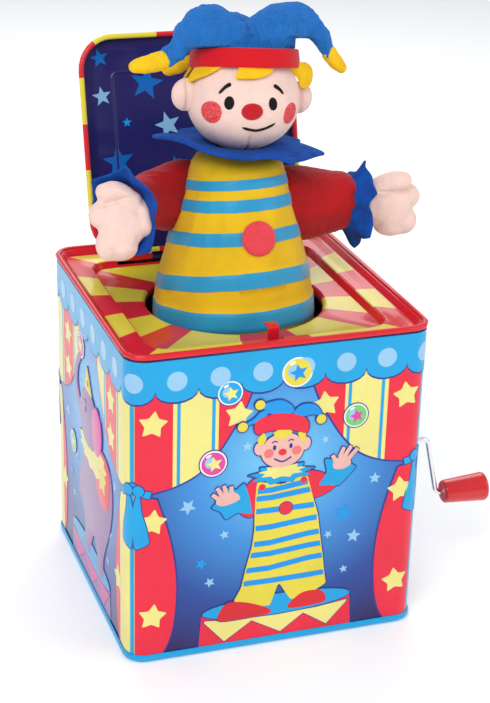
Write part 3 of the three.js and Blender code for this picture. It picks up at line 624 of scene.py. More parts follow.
class Sheet:
    """Printed shapes gathered in a flat plane, then laid on a surface as one thin piece."""

    def __init__(self):
        self.points, self.faces, self.inks, self.used = [], [], [], []
        self.shapes = 0

    def ink(self, name):
        if name not in self.used:
            self.used.append(name)
        return self.used.index(name)

    def add(self, outline, ink, top, bevel=0.0, low=-0.1):
        """A filled outline whose top is `top` above the tin; a bevel rounds an embossed edge."""
        self.shapes += 1
        top += self.shapes % TOP_LEVELS * TOP_STEP
        steps = 3 if bevel > 0.2 else 1 if bevel else 0
        loops = [(outline, low)]
        for i in range(steps + 1):
            turn = math.pi / 2 * i / max(steps, 1)
            inset = bevel * (1 - math.cos(turn))
            height = top - bevel * 0.8 * (1 - math.sin(turn)) if bevel else top
            loops.append((inward(outline, inset), height))
        base, count = len(self.points), len(outline)
        for loop, height in loops:
            self.points += [(u, z, height) for u, z in loop]
        cap = tessellate_polygon([[Vector((u, z, 0)) for u, z in loops[-1][0]]])
        tops = [tuple((len(loops) - 1) * count + k for k in tri) for tri in cap]
        faces = [tuple(base + k for k in face) for face in loft_faces(len(loops), count) + tops]
        self.faces += faces
        self.inks += [self.ink(ink)] * len(faces)

    def outlined(self, outline, ink, top, bevel=0.0, line=0.45):
        """A shape with a printed line round it."""
        self.add(inward(outline, -line), "navy", top - max(bevel, 0.03))
        self.add(outline, ink, top, bevel)

    def lay(self, name, wrap, cuts=(), **say):
        """Makes the piece: splits long faces at the cut lines, then moves every point by wrap."""
        mesh = bpy.data.meshes.new(name)
        mesh.from_pydata(self.points, [], self.faces)
        mesh.polygons.foreach_set("material_index", np.asarray(self.inks, np.int32))
        flat = bmesh.new()
        flat.from_mesh(mesh)
        for at in cuts:
            everything = flat.verts[:] + flat.edges[:] + flat.faces[:]
            bmesh.ops.bisect_plane(flat, geom=everything, plane_co=(at, 0, 0), plane_no=(1, 0, 0))
        flat.verts.index_update()
        points = [wrap(*v.co) for v in flat.verts]
        faces = [[v.index for v in f.verts] for f in flat.faces]
        inks = [f.material_index for f in flat.faces]
        flat.free()
        return make(name, points, faces, self.used, inks, sharp=30, **say)


def inward(outline, distance):
    """An outline moved in by a distance, its corners mitred; negative moves it out."""
    if not distance:
        return list(outline)
    points = [Vector(p) for p in outline]
    area = sum(a.cross(b) for a, b in zip(points, points[1:] + points[:1]))
    turn = 1 if area > 0 else -1
    moved = []
    for i, at in enumerate(points):
        ahead = (points[(i + 1) % len(points)] - at).normalized()
        behind = (at - points[i - 1]).normalized()
        normal = Vector((-ahead.y - behind.y, ahead.x + behind.x)) * turn
        size = max(normal.length_squared / 2, 0.45)
        moved.append(tuple(at + normal * (distance / size)))
    return moved


def oval(x, z, rx, rz=None, steps=28, tilt=0.0):
    rz = rx if rz is None else rz
    c, s = math.cos(math.radians(tilt)), math.sin(math.radians(tilt))
    ring = [(rx * math.cos(TAU * i / steps), rz * math.sin(TAU * i / steps)) for i in range(steps)]
    return [(x + a * c - b * s, z + a * s + b * c) for a, b in ring]


def star(x, z, r, turn=0.0, inner=0.45, points=5, soft=False):
    """A star; soft rounds its tips."""
    corners = []
    for i in range(2 * points):
        a = math.radians(90 + turn) + math.pi * i / points
        reach = r if i % 2 == 0 else r * inner
        corners.append((x + reach * math.cos(a), z + reach * math.sin(a)))
    return smooth(corners, 0.35) if soft else corners


def smooth(corners, size=0.5, steps=3):
    """An outline with every corner replaced by an arc over a share of its sides."""
    out = []
    count = len(corners)
    for i in range(count):
        at, before, after = (Vector(corners[k % count]) for k in (i, i - 1, i + 1))
        start, end = at.lerp(before, size / 2), at.lerp(after, size / 2)
        out += [tuple(p) for p in corner_arc(start, at, end, steps)]
    return out


def blob(corners, steps=5):
    """A closed flowing outline through its points."""
    count = len(corners)
    out = []
    for i in range(count):
        four = (Vector(corners[(i + k) % count]) for k in (-1, 0, 1, 2))
        out += [tuple(p) for p in flowing(*four, steps)]
    return out


def ribbon(path, width, steps=6):
    """An outline of even width along a flowing line; width may be one value per end."""
    start, end = width if isinstance(width, tuple) else (width, width)
    line = smooth_path(path, steps) if len(path) > 2 else [Vector(p) for p in path]
    left, right = [], []
    for i, at in enumerate(line):
        ahead = way_at(line, i)
        half = (start + (end - start) * i / (len(line) - 1)) / 2
        side = Vector((-ahead.y, ahead.x)) * half
        left.append(tuple(at + side))
        right.append(tuple(at - side))
    return left + right[::-1]


def on_wall(side):
    """Wraps (across, up, out) onto one side of the box: 0 front, 1 right, 2 back, 3 left."""
    turn = Matrix.Rotation(side * math.pi / 2, 3, "Z")

    def wrap(u, z, out):
        over = max(0, abs(u) - CORNER_CENTRE) / CORNER_R
        flat = min(abs(u), CORNER_CENTRE)
        sign = 1 if u >= 0 else -1
        reach = CORNER_R + out
        x = sign * (flat + reach * math.sin(over))
        y = -CORNER_CENTRE - reach * math.cos(over)
        return turn @ Vector((x, y, z))

    return wrap


CORNER_CUTS = [s * (CORNER_CENTRE + CORNER_R * math.pi / 4 * i / 5) for s in (-1, 1) for i in range(5)]


# ---- Printed panels ----------------------------------------------------------------------------------

SCALLOP = 2 * HALF_PANEL / 7  # width of one scallop of the cloth edge
LAYER = 0.05  # how far each printed layer stands over the one below


SCALLOPS = 8  # the first and the last are cut in half by the corners


def valance(art):
    """The scalloped cloth edge printed along the top, with a spot in each scallop."""
    top, valley, bottom = WALL_TOP - 0.3, 132.6, 127.0
    middles = [(k - (SCALLOPS - 1) / 2) * SCALLOP for k in range(SCALLOPS)]
    edge = []
    for middle in middles:
        for i in range(9):
            a = math.pi * (1 - i / 8)
            across = middle + SCALLOP / 2 * math.cos(a) * 0.999
            edge.append((across, valley - (valley - bottom) * math.sin(a)))
    reach = SCALLOPS / 2 * SCALLOP
    outline = clipped([*edge, (reach, top), (-reach, top)], -HALF_PANEL, HALF_PANEL)
    art.add([(u, z - 0.8 if z < top else z) for u, z in outline], "navy", 5 * LAYER)
    art.add(outline, "cyan", 7 * LAYER, 0.15)
    for middle in middles:
        art.add(clipped(oval(middle, 136.7, 4.5), -HALF_PANEL, HALF_PANEL), "dot", 9 * LAYER)


CURTAIN_IN = [(14.5, 127.5), (17.5, 120), (22.5, 111), (29, 101), (37.5, 92), (48, 87), (58.5, 85)]
CURTAIN_LOW = [(56.5, 81.5), (52, 67), (48.8, 52), (47.4, 36), (48.3, 20), (50.5, 10), (53.5, 3.6)]
# The coral stripes above and below the rope, the cyan lines and the stars; the other cloth is cream.
FRONT_CLOTH = {"upper": [(9.0, 29.0), (49.5, 66.3)], "lower": (40, 66.3), "lines": [31.3, 46.9, 67.3],
               "stars": [(20, 117.5), (58.3, 117.5), (58.3, 70.5), (58.3, 23)]}
SIDE_CLOTH = {"upper": [(9.0, 16.0), (31.0, 49.0)], "lower": (40, 54.5), "lines": [29.0, 51.3, 66.3],
              "stars": [(40, 117.5), (40, 100), (51.5, 35)]}
HALF_LINE = 0.75  # half the width of a cyan line
STARS_END = 66  # where the corner cuts the stars off


def curtain(art, sign, plan):
    """One striped curtain, tied back at the corner."""
    edge, hem = ([tuple(p) for p in smooth_path([(sign * u, z) for u, z in line], 5)]
                 for line in (CURTAIN_IN, CURTAIN_LOW))
    upper_cloth = [(sign * 14.5, 134), *edge, (sign * HALF_PANEL, 85), (sign * HALF_PANEL, 134)]
    lower_cloth = [(sign * HALF_PANEL, 85), *hem, (sign * HALF_PANEL, 3.6)]
    for cloth in (upper_cloth, lower_cloth):
        art.add(inward(cloth, -0.9), "navy", 1 * LAYER)
        art.add(cloth, "cream", 2 * LAYER)

    def stripe(cloth, near, far, ink):
        art.add(clipped(cloth, *sorted((sign * near, sign * far))), ink, 3 * LAYER)

    for near, far in plan["upper"]:
        stripe(upper_cloth, near, far, "coral")
    stripe(lower_cloth, *plan["lower"], "coral")
    lines = [(at - HALF_LINE, min(at + HALF_LINE, HALF_PANEL)) for at in plan["lines"]]
    for near, far in lines:
        stripe(upper_cloth, near, far, "cyan")
    stripe(lower_cloth, *lines[-1], "cyan")
    tie_back(art, sign)
    for u, z in plan["stars"]:
        shape = star(sign * u, z, 6.8, turn=sign * 8, inner=0.55, soft=True)
        art.add(clipped(shape, *sorted((sign * (u - 9), sign * STARS_END))), "cream", 5 * LAYER)


def clipped(outline, low, high):
    """The part of an outline between two upright lines."""
    for at, keep in ((low, 1), (high, -1)):
        out = []
        for a, b in zip(outline, outline[1:] + outline[:1]):
            a_in, b_in = (a[0] - at) * keep >= 0, (b[0] - at) * keep >= 0
            if a_in:
                out.append(a)
            if a_in != b_in:
                t = (at - a[0]) / (b[0] - a[0])
                out.append((at, a[1] + t * (b[1] - a[1])))
        outline = out
    return outline


def tie_back(art, sign):
    """The cyan rope that gathers a curtain at the corner, with its knot and tails."""
    band = [(sign * 59.3, 84.2), (sign * 63, 85.2), (sign * 67.5, 88.6)]
    art.outlined(ribbon(band, 3.2), "cyan", 7 * LAYER, 0.1)
    tail = [(65.2, 85), (67, 78), (67.6, 69), (66.4, 57), (59.8, 60.5), (61, 68), (63.2, 76), (64, 84)]
    art.outlined(smooth([(sign * u, z) for u, z in tail], 0.35), "cyan", 7 * LAYER, 0.1)
    art.outlined(oval(sign * 64.6, 86.3, 2.4, 2.6), "cyan", 10 * LAYER, 0.12)


def ball(art, x, z, r, ink, star_ink):
    """A juggling ball: outline, white ring, star and highlight."""
    art.outlined(oval(x, z, r), "white", 8 * LAYER, 0.1)
    art.add(oval(x, z, r * 0.88), ink, 9 * LAYER)
    art.add(oval(x - r * 0.22, z + r * 0.08, r * 0.42), "dot", 9.6 * LAYER)
    art.add(star(x + r * 0.08, z - r * 0.05, r * 0.62, turn=12, inner=0.45), star_ink, 10.4 * LAYER)
    art.add(oval(x - r * 0.35, z + r * 0.62, r * 0.22, r * 0.1, tilt=25), "white", 10.4 * LAYER)


def podium(art, ink, teeth_ink, side_ink):
    """The round stand along the foot of a panel, with its painted triangles."""
    top = oval(0.5, 20, 35.5, 5.2, steps=48)
    side = [(-35.5, 19), (-36.5, 3.4), (37, 3.4), (36, 19)]
    art.outlined(side, side_ink, 3 * LAYER)
    teeth = [(-34, 15.4), (-24.5, 4.4), (-11.5, 13.2), (2.5, 5), (13.5, 13), (25, 5.2), (34.6, 15.6)]
    upper = [(34.8, 16.5), (20, 14.9), (0.5, 14.2), (-20, 14.9), (-34.2, 16.5)]
    art.outlined([*teeth, *upper], teeth_ink, 5 * LAYER, line=0.35)
    art.outlined(top, ink, 7 * LAYER, 0.12)


NIGHT_STARS = [(-15.7, 101.7, 2.6), (20.6, 100.3, 2.2), (-42.4, 75.9, 4), (31, 61.8, 5), (45.4, 77.7, 3),
               (-25.3, 59.5, 2.4), (24, 52.2, 2.2), (-36, 46.4, 3), (36.5, 49.5, 3.6), (32.4, 32.9, 2.2),
               (-31.8, 36.3, 2.6)]


def common_art(podium_inks, plan):
    """What every side has: curtains, valance, podium and small stars."""
    art = Sheet()
    for sign in (-1, 1):
        curtain(art, sign, plan)
    valance(art)
    podium(art, *podium_inks)
    for i, (x, z, r) in enumerate(NIGHT_STARS):
        art.add(star(x, z, r, turn=17 * i), "star_cyan" if i % 4 == 3 else "dot", 2 * LAYER)
    return art


FIGURE = 0.42  # height of an embossed figure above the tin
ROUND = 0.4  # how wide its rounded edge is


def figure(art, outline, ink, step=0, line=0.5):
    """An embossed shape with its printed outline; step lifts it over its neighbours."""
    lift = step * LAYER
    art.add(inward(outline, -line), "navy", FIGURE - 0.28 + lift)
    art.add(outline, ink, FIGURE + lift, ROUND * 0.7)


def mark(art, outline, ink, step=1):
    """A flat printed mark on an embossed shape."""
    art.add(outline, ink, FIGURE + step * LAYER)


def ruffle(x, z, r, inner, points, flat=0.4):
    """A pleated ruff seen from a little below: a star pressed flat."""
    return [(u, z + (v - z) * flat) for u, v in star(x, z, r, inner=inner, points=points)]


# Each arm of the clown, on the left and on the right: sleeve, cuff, hand and fingers.
CLOWN_ARMS = [
    ([(-10.5, 85), (-15.5, 82.5), (-19, 75), (-18, 69), (-12, 67.5)],
     [(-12.5, 68), (-14, 76), (-16.5, 84.5), (-21, 81), (-26, 83.5), (-27, 78), (-32, 74), (-27.5, 71.5),
      (-25, 67), (-19.5, 70)],
     [(-18.8, 76.5), (-20.5, 80), (-25.5, 80.5), (-29, 78.5), (-29.5, 75.5), (-25.5, 74.2)],
     [[(-28, 77.5), (-31.5, 80.5)], [(-27, 79.5), (-29.3, 83.5)], [(-25, 80), (-26.2, 84.3)],
      [(-22.5, 80), (-22.8, 83.5)]]),
    ([(12, 85), (18, 85), (24, 81), (26.5, 77), (22, 73.5), (15.5, 73)],
     [(18, 78), (22, 84), (20.5, 91), (27, 89.5), (31, 93), (33, 87), (36, 85), (32, 80.5), (28, 76.5),
      (23, 77.5)],
     [(25.2, 85.5), (25, 89), (29, 91.5), (32.5, 90), (33, 86.6), (29.5, 84.8)],
     [[(31.5, 89), (36.2, 94.3)], [(29.8, 90.5), (33, 95.8)], [(27.8, 90.8), (29.6, 95.6)],
      [(26, 89), (24.2, 92.2)]]),
]


def clown(art):
    """A juggling clown of no maker: ruffle, striped overall and big shoes."""
    for shoe in ([(-26.5, 15.4), (-26.9, 20.3), (-22.7, 24.4), (-13.9, 23.2), (-4, 18.6), (-2.8, 15.8),
                  (-9, 15.2)],
                 [(6.6, 16.6), (7.6, 20.5), (13, 24.2), (20.8, 24), (24, 20.5), (22.7, 17)]):
        figure(art, blob(shoe), "red", 4)
    for sleeve, cuff, hand, fingers in CLOWN_ARMS:
        figure(art, blob(sleeve, 4), "coral")
        figure(art, smooth(cuff, 0.4), "cyan", 2)
        figure(art, blob(hand), "pink", 4)
        for finger in fingers:
            figure(art, ribbon(finger, (2.3, 1.7)), "pink", 5, line=0.3)
    body = smooth([(-11, 84), (-11.6, 74), (-11.5, 59.5), (-12.5, 51), (-15, 41), (-17, 31), (-20.5, 24.5),
                   (-11, 20.5), (-3, 19.5), (1, 31), (7, 21), (16, 22.5), (24, 27), (23, 33), (22, 41),
                   (20.5, 50.5), (18.5, 64), (15.5, 74), (12.5, 85), (1, 81)], 0.3)
    figure(art, body, "yellow", 2)
    stripes = [(79.5, 81.5), (75.8, 77.2), (69.5, 69.2), (61, 62.5), (53, 55), (47.5, 48.8), (40, 42.3),
               (33.4, 33.4)]
    for left, right in stripes:
        low = [(-30, left - 1.2), (-4, left - 1.9), (14, right - 1.8), (32, right - 1)]
        high = [(-30, left + 1.3), (-4, left + 0.9), (14, right + 1), (32, right + 1.5)]
        mark(art, between(inward(body, 0.45), low, high), "star_cyan", 3)
    mark(art, oval(3, 69, 3.4), "navy", 3.6)
    mark(art, oval(3, 69, 3), "coral", 4.4)
    for x, z in ((-8.5, 81), (11, 82)):
        mark(art, oval(x, z, 1.6), "coral", 4.4)
    clown_head(art)
    ball(art, -24.1, 128.3, 5.7, "cyan", "cream")
    ball(art, 6.2, 134.6, 7.1, "yellow", "star_cyan")
    ball(art, 34.5, 110.4, 5.7, "green", "magenta")
    ball(art, -31.2, 95.6, 6.2, "magenta", "cream")


def between(outline, low, high):
    """The part of an outline between two flowing lines that cross it."""
    columns = []
    for i in range(-60, 61):
        x = i / 2
        spans = crossings(outline, x)
        for bottom, top in zip(spans[::2], spans[1::2]):
            z0, z1 = max(bottom, height_of(low, x)), min(top, height_of(high, x))
            if z1 - z0 > 0.3:
                columns.append((x, z0, z1))
    return [(x, z0) for x, z0, _ in columns] + [(x, z1) for x, _, z1 in reversed(columns)]


def height_of(line, x):
    """The height of a line, given from left to right, at a place across."""
    for (x0, z0), (x1, z1) in zip(line, line[1:]):
        if x0 <= x <= x1:
            return z0 + (z1 - z0) * (x - x0) / (x1 - x0)
    return line[0][1] if x < line[0][0] else line[-1][1]


def crossings(outline, x):
    """Heights at which an upright line meets an outline."""
    found = []
    for (x0, z0), (x1, z1) in zip(outline, outline[1:] + outline[:1]):
        if (x0 <= x) != (x1 <= x):
            found.append(z0 + (z1 - z0) * (x - x0) / (x1 - x0))
    return sorted(found)


def clown_head(art):
    """Ruffle, round face, cap band, two drooping points and bells."""
    outer = ruffle(0.5, 86.5, 16, 0.7, 9, flat=0.34)
    figure(art, smooth(outer, 0.2), "cyan", 4)
    inner = [(0.5 + (x - 0.5) * 0.7, 87.8 + (z - 86.5) * 0.66) for x, z in outer]
    mark(art, smooth(inner, 0.2), "cream", 6)
    for x in (-10, 11):
        figure(art, oval(x, 100, 2.6, 3.2), "pink", 5)
    figure(art, oval(0.5, 98, 10, 8.4), "pink", 7)
    for x in (-6, 7):
        mark(art, oval(x, 97.3, 2.2), "blush", 8.5)
    for x in (-3.4, 4.2):
        mark(art, oval(x, 99.8, 0.8, 1.25, 14), "navy", 8.5)
        mark(art, ribbon([(x - 1.3, 102.2), (x, 102.9), (x + 1.3, 102.3)], 0.55), "navy", 8.5)
    mark(art, oval(0.4, 97.2, 1.9, 1.6), "coral", 9.5)
    mark(art, ribbon([(-3.4, 94.4), (0.5, 92.6), (4.6, 94.4)], 0.75), "navy", 8.5)
    locks = ([(-11.2, 104.5), (-8.6, 107.6), (-7.4, 104.2), (-9.8, 101.8)],
             [(-4, 107), (0.5, 108.5), (4.6, 106.8), (2.2, 104), (-1.4, 103.8)],
             [(7.4, 105.6), (10.6, 105.8), (10.8, 101), (8.8, 102)])
    for lock in locks:
        mark(art, blob(lock, 4), "yellow", 9.5)
    points = ([(-18.5, 112), (-13.5, 114.8), (-10, 117.8), (-5.5, 118.4), (-8.5, 114.8), (-13, 112.6)],
              [(-9.8, 120.2), (-6.5, 122), (-0.4, 122.2), (4.6, 118.6), (4.2, 115.4), (-4, 115.6)],
              [(4.8, 115.2), (8.9, 119), (15.3, 118), (18.4, 112.6), (14, 113.6), (9, 113.2)])
    for outline in points:
        figure(art, blob(outline), "star_cyan", 7)
    cap = [(-11.9, 107.4), (-12.6, 113), (-7.3, 115.6), (-0.9, 116.2), (7.6, 114.2), (12.1, 110.4),
           (11.3, 105), (5.6, 107), (-0.7, 108), (-6.3, 108.2)]
    figure(art, blob(cap, 4), "coral", 10)
    for x, z in ((-18.3, 111.6), (-10.6, 121.2), (18, 110.9)):
        figure(art, oval(x, z, 2.3, steps=16), "yellow", 11)


def elephant(art):
    """A performing elephant on its stand, with a ruffle and a raised trunk."""
    body = [(-21, 46), (-14, 40), (-9, 30), (-12, 20.5), (-2, 18.5), (3, 27), (8, 33), (13, 27), (14, 18.5),
            (24, 18.5), (25, 29), (31, 40), (38, 52), (42, 66), (40, 78), (31, 84), (16, 84), (2, 80),
            (-10, 72)]
    figure(art, blob(body, 4), "mauve")
    head = [(-6, 76), (-14, 82), (-16, 92), (-10, 101), (0, 105), (10, 102), (16, 94), (15, 84), (8, 77)]
    trunk = [(-12, 88), (-20, 92), (-24, 101), (-21, 110), (-15, 116)]
    figure(art, ribbon(trunk, (8.5, 3.6)), "mauve", 2)
    figure(art, blob(head, 4), "mauve", 4)
    figure(art, blob([(8, 98), (16, 102), (23, 97), (24, 87), (18, 79), (10, 80), (7, 89)], 4), "magenta", 6)
    figure(art, smooth(ruffle(8, 76, 26, 0.82, 13), 0.25), "cream", 3)
    mark(art, oval(-5, 93, 1.3, 1.7, 14), "navy", 6)
    mark(art, ribbon([(-8.5, 96.5), (-5.5, 97.8), (-3, 96.6)], 0.7), "navy", 6)
    saddle = [(14, 83), (12, 66), (18, 58), (28, 57), (36, 63), (38, 79), (28, 84)]
    figure(art, blob(saddle, 4), "coral", 3)
    mark(art, star(25, 71, 8, soft=True, inner=0.55), "yellow", 5)
    cap = [(-6, 104), (-2, 116), (7, 103.5)]
    figure(art, smooth(cap, 0.15), "yellow", 6)
    mark(art, oval(0, 108, 1.6, steps=16), "coral", 8)
    ball(art, -14.5, 121.5, 6.4, "magenta", "cream")
    ball(art, -32, 64, 5.6, "green", "cream")


def seal(art):
    """A seal balancing a ball, in a ruff."""
    body = [(-24, 21), (-30, 27), (-22, 31), (-12, 27), (-4, 36), (-2, 54), (-6, 70), (-4, 82), (2, 92),
            (8, 96), (15, 96), (21, 91), (19, 85), (13, 81), (15, 66), (22, 48), (27, 33), (24, 21),
            (6, 18.5), (-10, 20)]
    figure(art, blob(body, 4), "star_blue")
    for flipper in ([(20, 46), (30, 36), (36, 24), (30, 22), (22, 31)],
                    [(-2, 48), (-14, 38), (-18, 42), (-8, 55)]):
        figure(art, blob(flipper, 4), "navy", 2)
    figure(art, blob([(2, 30), (2, 48), (5, 62), (11, 62), (16, 46), (19, 32), (12, 23)], 4), "dot", 2)
    figure(art, smooth(ruffle(5, 77, 14, 0.76, 9), 0.25), "coral", 4)
    mark(art, oval(12, 91, 1, 1.4, 14), "white", 3)
    mark(art, oval(20, 92.6, 1.5, 1.2, 14), "navy", 3)
    for z in (86.5, 88, 89.5):
        mark(art, ribbon([(16, z), (21, z - 1.5)], 0.35), "navy", 3)
    ball(art, 20, 106, 10.5, "coral", "cream")
    ball(art, -31, 98, 6, "green", "magenta")


def horse(art):
    """A prancing horse with a plume and a saddle cloth."""
    far = ([(-14, 46), (-23, 38), (-19, 27), (-24, 21), (-19, 19.5), (-13, 28), (-14, 38), (-6, 42)],
           [(24, 50), (31, 38), (26, 28), (31, 20), (25, 19.5), (20, 29), (22, 39), (16, 46)])
    for leg in far:
        figure(art, blob(leg, 4), "white")
    body = [(-22, 62), (-15, 48), (0, 44), (18, 45), (30, 53), (32, 66), (24, 74), (6, 72), (-6, 76),
            (-10, 92), (-17, 103), (-27, 103), (-37, 95), (-38, 89), (-32, 87), (-25, 90), (-24, 78)]
    figure(art, blob(body, 4), "white", 2)
    mane = [(-12, 102), (-4, 94), (-1, 82), (5, 73), (-4, 74), (-8, 84), (-11, 94)]
    figure(art, blob(mane, 4), "coral", 4)
    tail = [(30, 68), (38, 66), (42, 56), (39, 44), (36, 54), (31, 59)]
    figure(art, blob(tail, 4), "coral", 4)
    figure(art, blob([(-2, 73), (-4, 58), (4, 52), (16, 53), (20, 60), (18, 74)], 4), "cyan", 4)
    mark(art, star(8, 63, 7.5, soft=True, inner=0.55), "cream", 6)
    figure(art, blob([(-20, 103), (-25, 112), (-21, 121), (-15, 116), (-16, 106)], 4), "magenta", 4)
    mark(art, oval(-26, 96.5, 1.1, 1.5, 14), "navy", 4)
    mark(art, ribbon([(-36, 91), (-28, 93), (-20, 99)], 1.1), "coral", 4)
    ball(art, 30, 112, 6.6, "magenta", "cream")
    ball(art, 12, 97, 5.4, "green", "cream")


# What each side shows: the name of its print, its figure and the colours of its stand.
PANELS = [("front", clown, ("cyan", "cream", "coral")), ("right", horse, ("cyan", "cream", "magenta")),
          ("back", seal, ("cream", "coral", "cyan")), ("left", elephant, ("cyan", "magenta", "mauve"))]


def printed_panels():
    for side, (name, draw, stand) in enumerate(PANELS):
        art = common_art(stand, SIDE_CLOTH if side % 2 else FRONT_CLOTH)
        draw(art)
        art.lay("print_" + name, on_wall(side), CORNER_CUTS, slot="litho_walls")


def on_lid(level, way):
    """Wraps (across, distance from the hinge, out) onto a face of the opened lid."""
    return lambda u, t, out: swung(Vector((u, HINGE.y - t, level + way * out)))


# The stars inside the lid, as (across, distance from the hinge, size, ink, turn).
LID_STARS = [
    (-42.4, 77.6, 4.8, "star_light", 8), (-31, 64.6, 2.4, "star_cyan", 0),
    (-20.2, 82.6, 8.5, "star_blue", -12), (-10.8, 62.1, 6.7, "star_light", 14),
    (-36.4, 46.3, 8, "star_blue", 5), (-8.3, 43.9, 3.5, "star_blue", 12),
    (-42.5, 95.5, 4.6, "star_blue", 10), (-22, 26, 5, "star_light", -8), (-42, 24, 3, "star_cyan", 12),
    (2, 92, 3, "star_cyan", 4), (14, 78, 6.5, "star_light", -10), (34, 88, 8, "star_blue", 8),
    (24, 58, 3, "star_cyan", 0), (40, 66, 5, "star_light", 12), (10, 50, 7, "star_blue", -6),
    (36, 42, 6.5, "star_light", 6), (16, 28, 4, "star_blue", 12), (42, 22, 5, "star_blue", -8),
    (-2, 20, 3, "star_light", 10),
]


def lid_print():
    """Stars inside the lid and a sunburst on its top."""
    inside = Sheet()
    for x, t, r, ink, turn in LID_STARS:
        inside.add(star(x, t, r, turn, inner=0.42), ink, 2 * LAYER)
    inside.lay("lid_stars", on_lid(LID["top"] - SHEET, -1), body="lid", slot="litho_lid")
    top = Sheet()
    for i in range(12):
        a0, a1 = TAU * (i - 0.25) / 12, TAU * (i + 0.25) / 12
        ray = [(x * math.cos(a), 53 + z * math.sin(a)) for a, x, z in
               ((a0, 23, 23), (a0, 47, 46), (a1, 47, 46), (a1, 23, 23))]
        top.add(ray, "red" if i % 2 else "yellow", 2 * LAYER)
    top.outlined(star(0, 53, 22, turn=180, soft=True, inner=0.55), "yellow", 0.4, 0.3)
    top.lay("lid_sunburst", on_lid(LID["top"], 1), body="lid", slot="litho_lid")


def lid_press_line():
    """The shallow step pressed round the inside of the lid."""
    columns, _ = square_columns(37.6, 37.6, 4, spacing=8)
    rows = [(0.0, 0.02), (0.5, 0.28), (1.1, 0.28), (1.6, 0.02)]
    rings = square_rings(columns, rows, 4)
    inside = LID["top"] - SHEET
    rings = opened([[Vector((p.x, p.y + 3.3, inside - p.z)) for p in ring] for ring in rings])
    lofted("lid_press_line", rings, "lid_navy", caps=(False, False), body="lid", slot="litho_lid")


# ---- Crank, rivets and springs -----------------------------------------------------------------------


WIRE_R = 1.2
CRANK_DROP = 30  # the knob's axis is this far below the shaft


def crank():
    """A chromed wire bent twice, its tapered knob and the bush it turns in."""
    corners = [Vector(p) for p in
               ((35.2, 0, 0), (90, 0, 0), (96.5, 0, -CRANK_DROP), (119.5, 0, -CRANK_DROP))]
    path = [corners[0]]
    for before, at, after in zip(corners, corners[1:], corners[2:]):
        start, end = at + (before - at).normalized() * 3.2, at + (after - at).normalized() * 3.2
        path += corner_arc(start, at, end, 10)
    path.append(corners[-1])
    rings = tube([p + Vector((0, SHAFT_Y, SHAFT_Z)) for p in path], WIRE_R, 20)
    lofted("crank_wire", rings, "chrome", body="crank", replaces=["crank_rod"], slot="chrome")
    at = (0, SHAFT_Y, SHAFT_Z - CRANK_DROP)
    knob = rounded([(1.5, 100), (4.9, 100), (5.65, 100.8), (6.9, 118.5), (7.15, 121), (6.75, 122.2),
                    (3.6, 122.2), (3.6, 118.5), (1.5, 118.5)], 0.6)
    turned_piece("knob", knob, at, "knob", 64, body="knob", replaces=["crank_knob"], slot="knob_red")
    cap = [(0.01, 121.4), (3.3, 121.4), (3.3, 122.4), (2.6, 122.75), (1.6, 122.95), (0.01, 123)]
    turned_piece("knob_end", cap, at, "knob", 48, body="knob", replaces=["knob_cap"], slot="knob_red")
    bush = rounded([(1.5, 65.6), (3, 65.6), (3, 69.3), (4.6, 69.3), (4.6, 69.9), (4, 70.4), (1.5, 70.4)], 0.3)
    turned_piece("bush", bush, (0, SHAFT_Y, SHAFT_Z), "nylon", 40, replaces=["crank_bushing"], slot="nylon")
    dome = [(2 * math.cos(a), 69.3 + 0.7 * math.sin(a)) for a in (0.4, 0.8, 1.15, 1.4)]
    rivet = [(0.01, 64.9), (1.8, 64.9), (1.8, 65.7), (1, 65.7), (1, 69.3), (2, 69.3), *dome, (0.01, 70)]
    for i, (y, z) in enumerate(((-53, 73), (-53, 41), (-25, 50))):
        turned_piece(f"movement_rivet_{i + 1}", rivet, (0, y, z), "steel", 24,
                     replaces=[f"frame_rivet_{i + 1}"], slot="steel")


def hinge_rivets():
    dome = [(1.9 * math.cos(a), 147.2 + 0.9 * math.sin(a)) for a in (0, 0.35, 0.7, 1.05, 1.35)]
    rivet = [(0.01, 144.4), (1.7, 144.4), (1.7, 145.1), (1, 145.1), (1, 147.2), *dome, (0.01, 148.1)]
    for i, x in enumerate((-30, 30)):
        turned_piece(f"lid_rivet_{i + 1}", rivet, (x, 60.5, 0), "red", 24, lay=along_z,
                     replaces=[f"hinge_rivet_{i + 1}"], slot="litho_deck")


def helix(radius, low, high, turns, steps=28):
    """A coil round Z, with a number of steps to each turn."""
    count = turns * steps
    return [Vector((radius * math.cos(TAU * turns * i / count), radius * math.sin(TAU * turns * i / count),
                    low + (high - low) * i / count)) for i in range(count + 1)]


SPRING_FOOT, SPRING_TOP = 7, 197.8


def springs():
    coil = lofted("jack_spring", tube(helix(16, SPRING_FOOT, SPRING_TOP, 13), 0.8, 10), "spring",
                  replaces=["main_spring"], slot="spring_steel")
    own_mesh(coil)
    small = [Vector((p.z + 4, p.x - 56, p.y + 124)) for p in helix(2.3, 0, 5, 4, 20)]
    lofted("latch_coil", tube(small, 0.4, 8), "spring", replaces=["latch_spring"], slot="spring_steel")


NODE_INKS = {
    "lid_navy": ["hinge_leaf_lid"],
    "red": ["hinge_leaf_deck", "latch_hook"],
    "steel": ["hinge_pin", "latch_shaft", "latch_arm", "latch_bracket_left", "latch_bracket_right",
              "shaft_collar", "knob_retainer", "movement_frame", "drum_arbor", "trip_finger", "comb",
              "spring_seat"],
    "nylon": ["worm", "worm_wheel", "neck_plug"],
    "brass": ["music_drum", "comb_screw_1", "comb_screw_2"],
}


def inner_works():
    """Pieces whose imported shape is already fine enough: they get a material and smooth shading."""
    for ink, names in NODE_INKS.items():
        for name in names:
            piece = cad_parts[name]
            piece.data.materials.clear()
            piece.data.materials.append(INK[ink])
            soften(piece)
            piece.data.set_sharp_from_angle(angle=math.radians(35))


# ---- Sewing helpers ----------------------------------------------------------------------------------

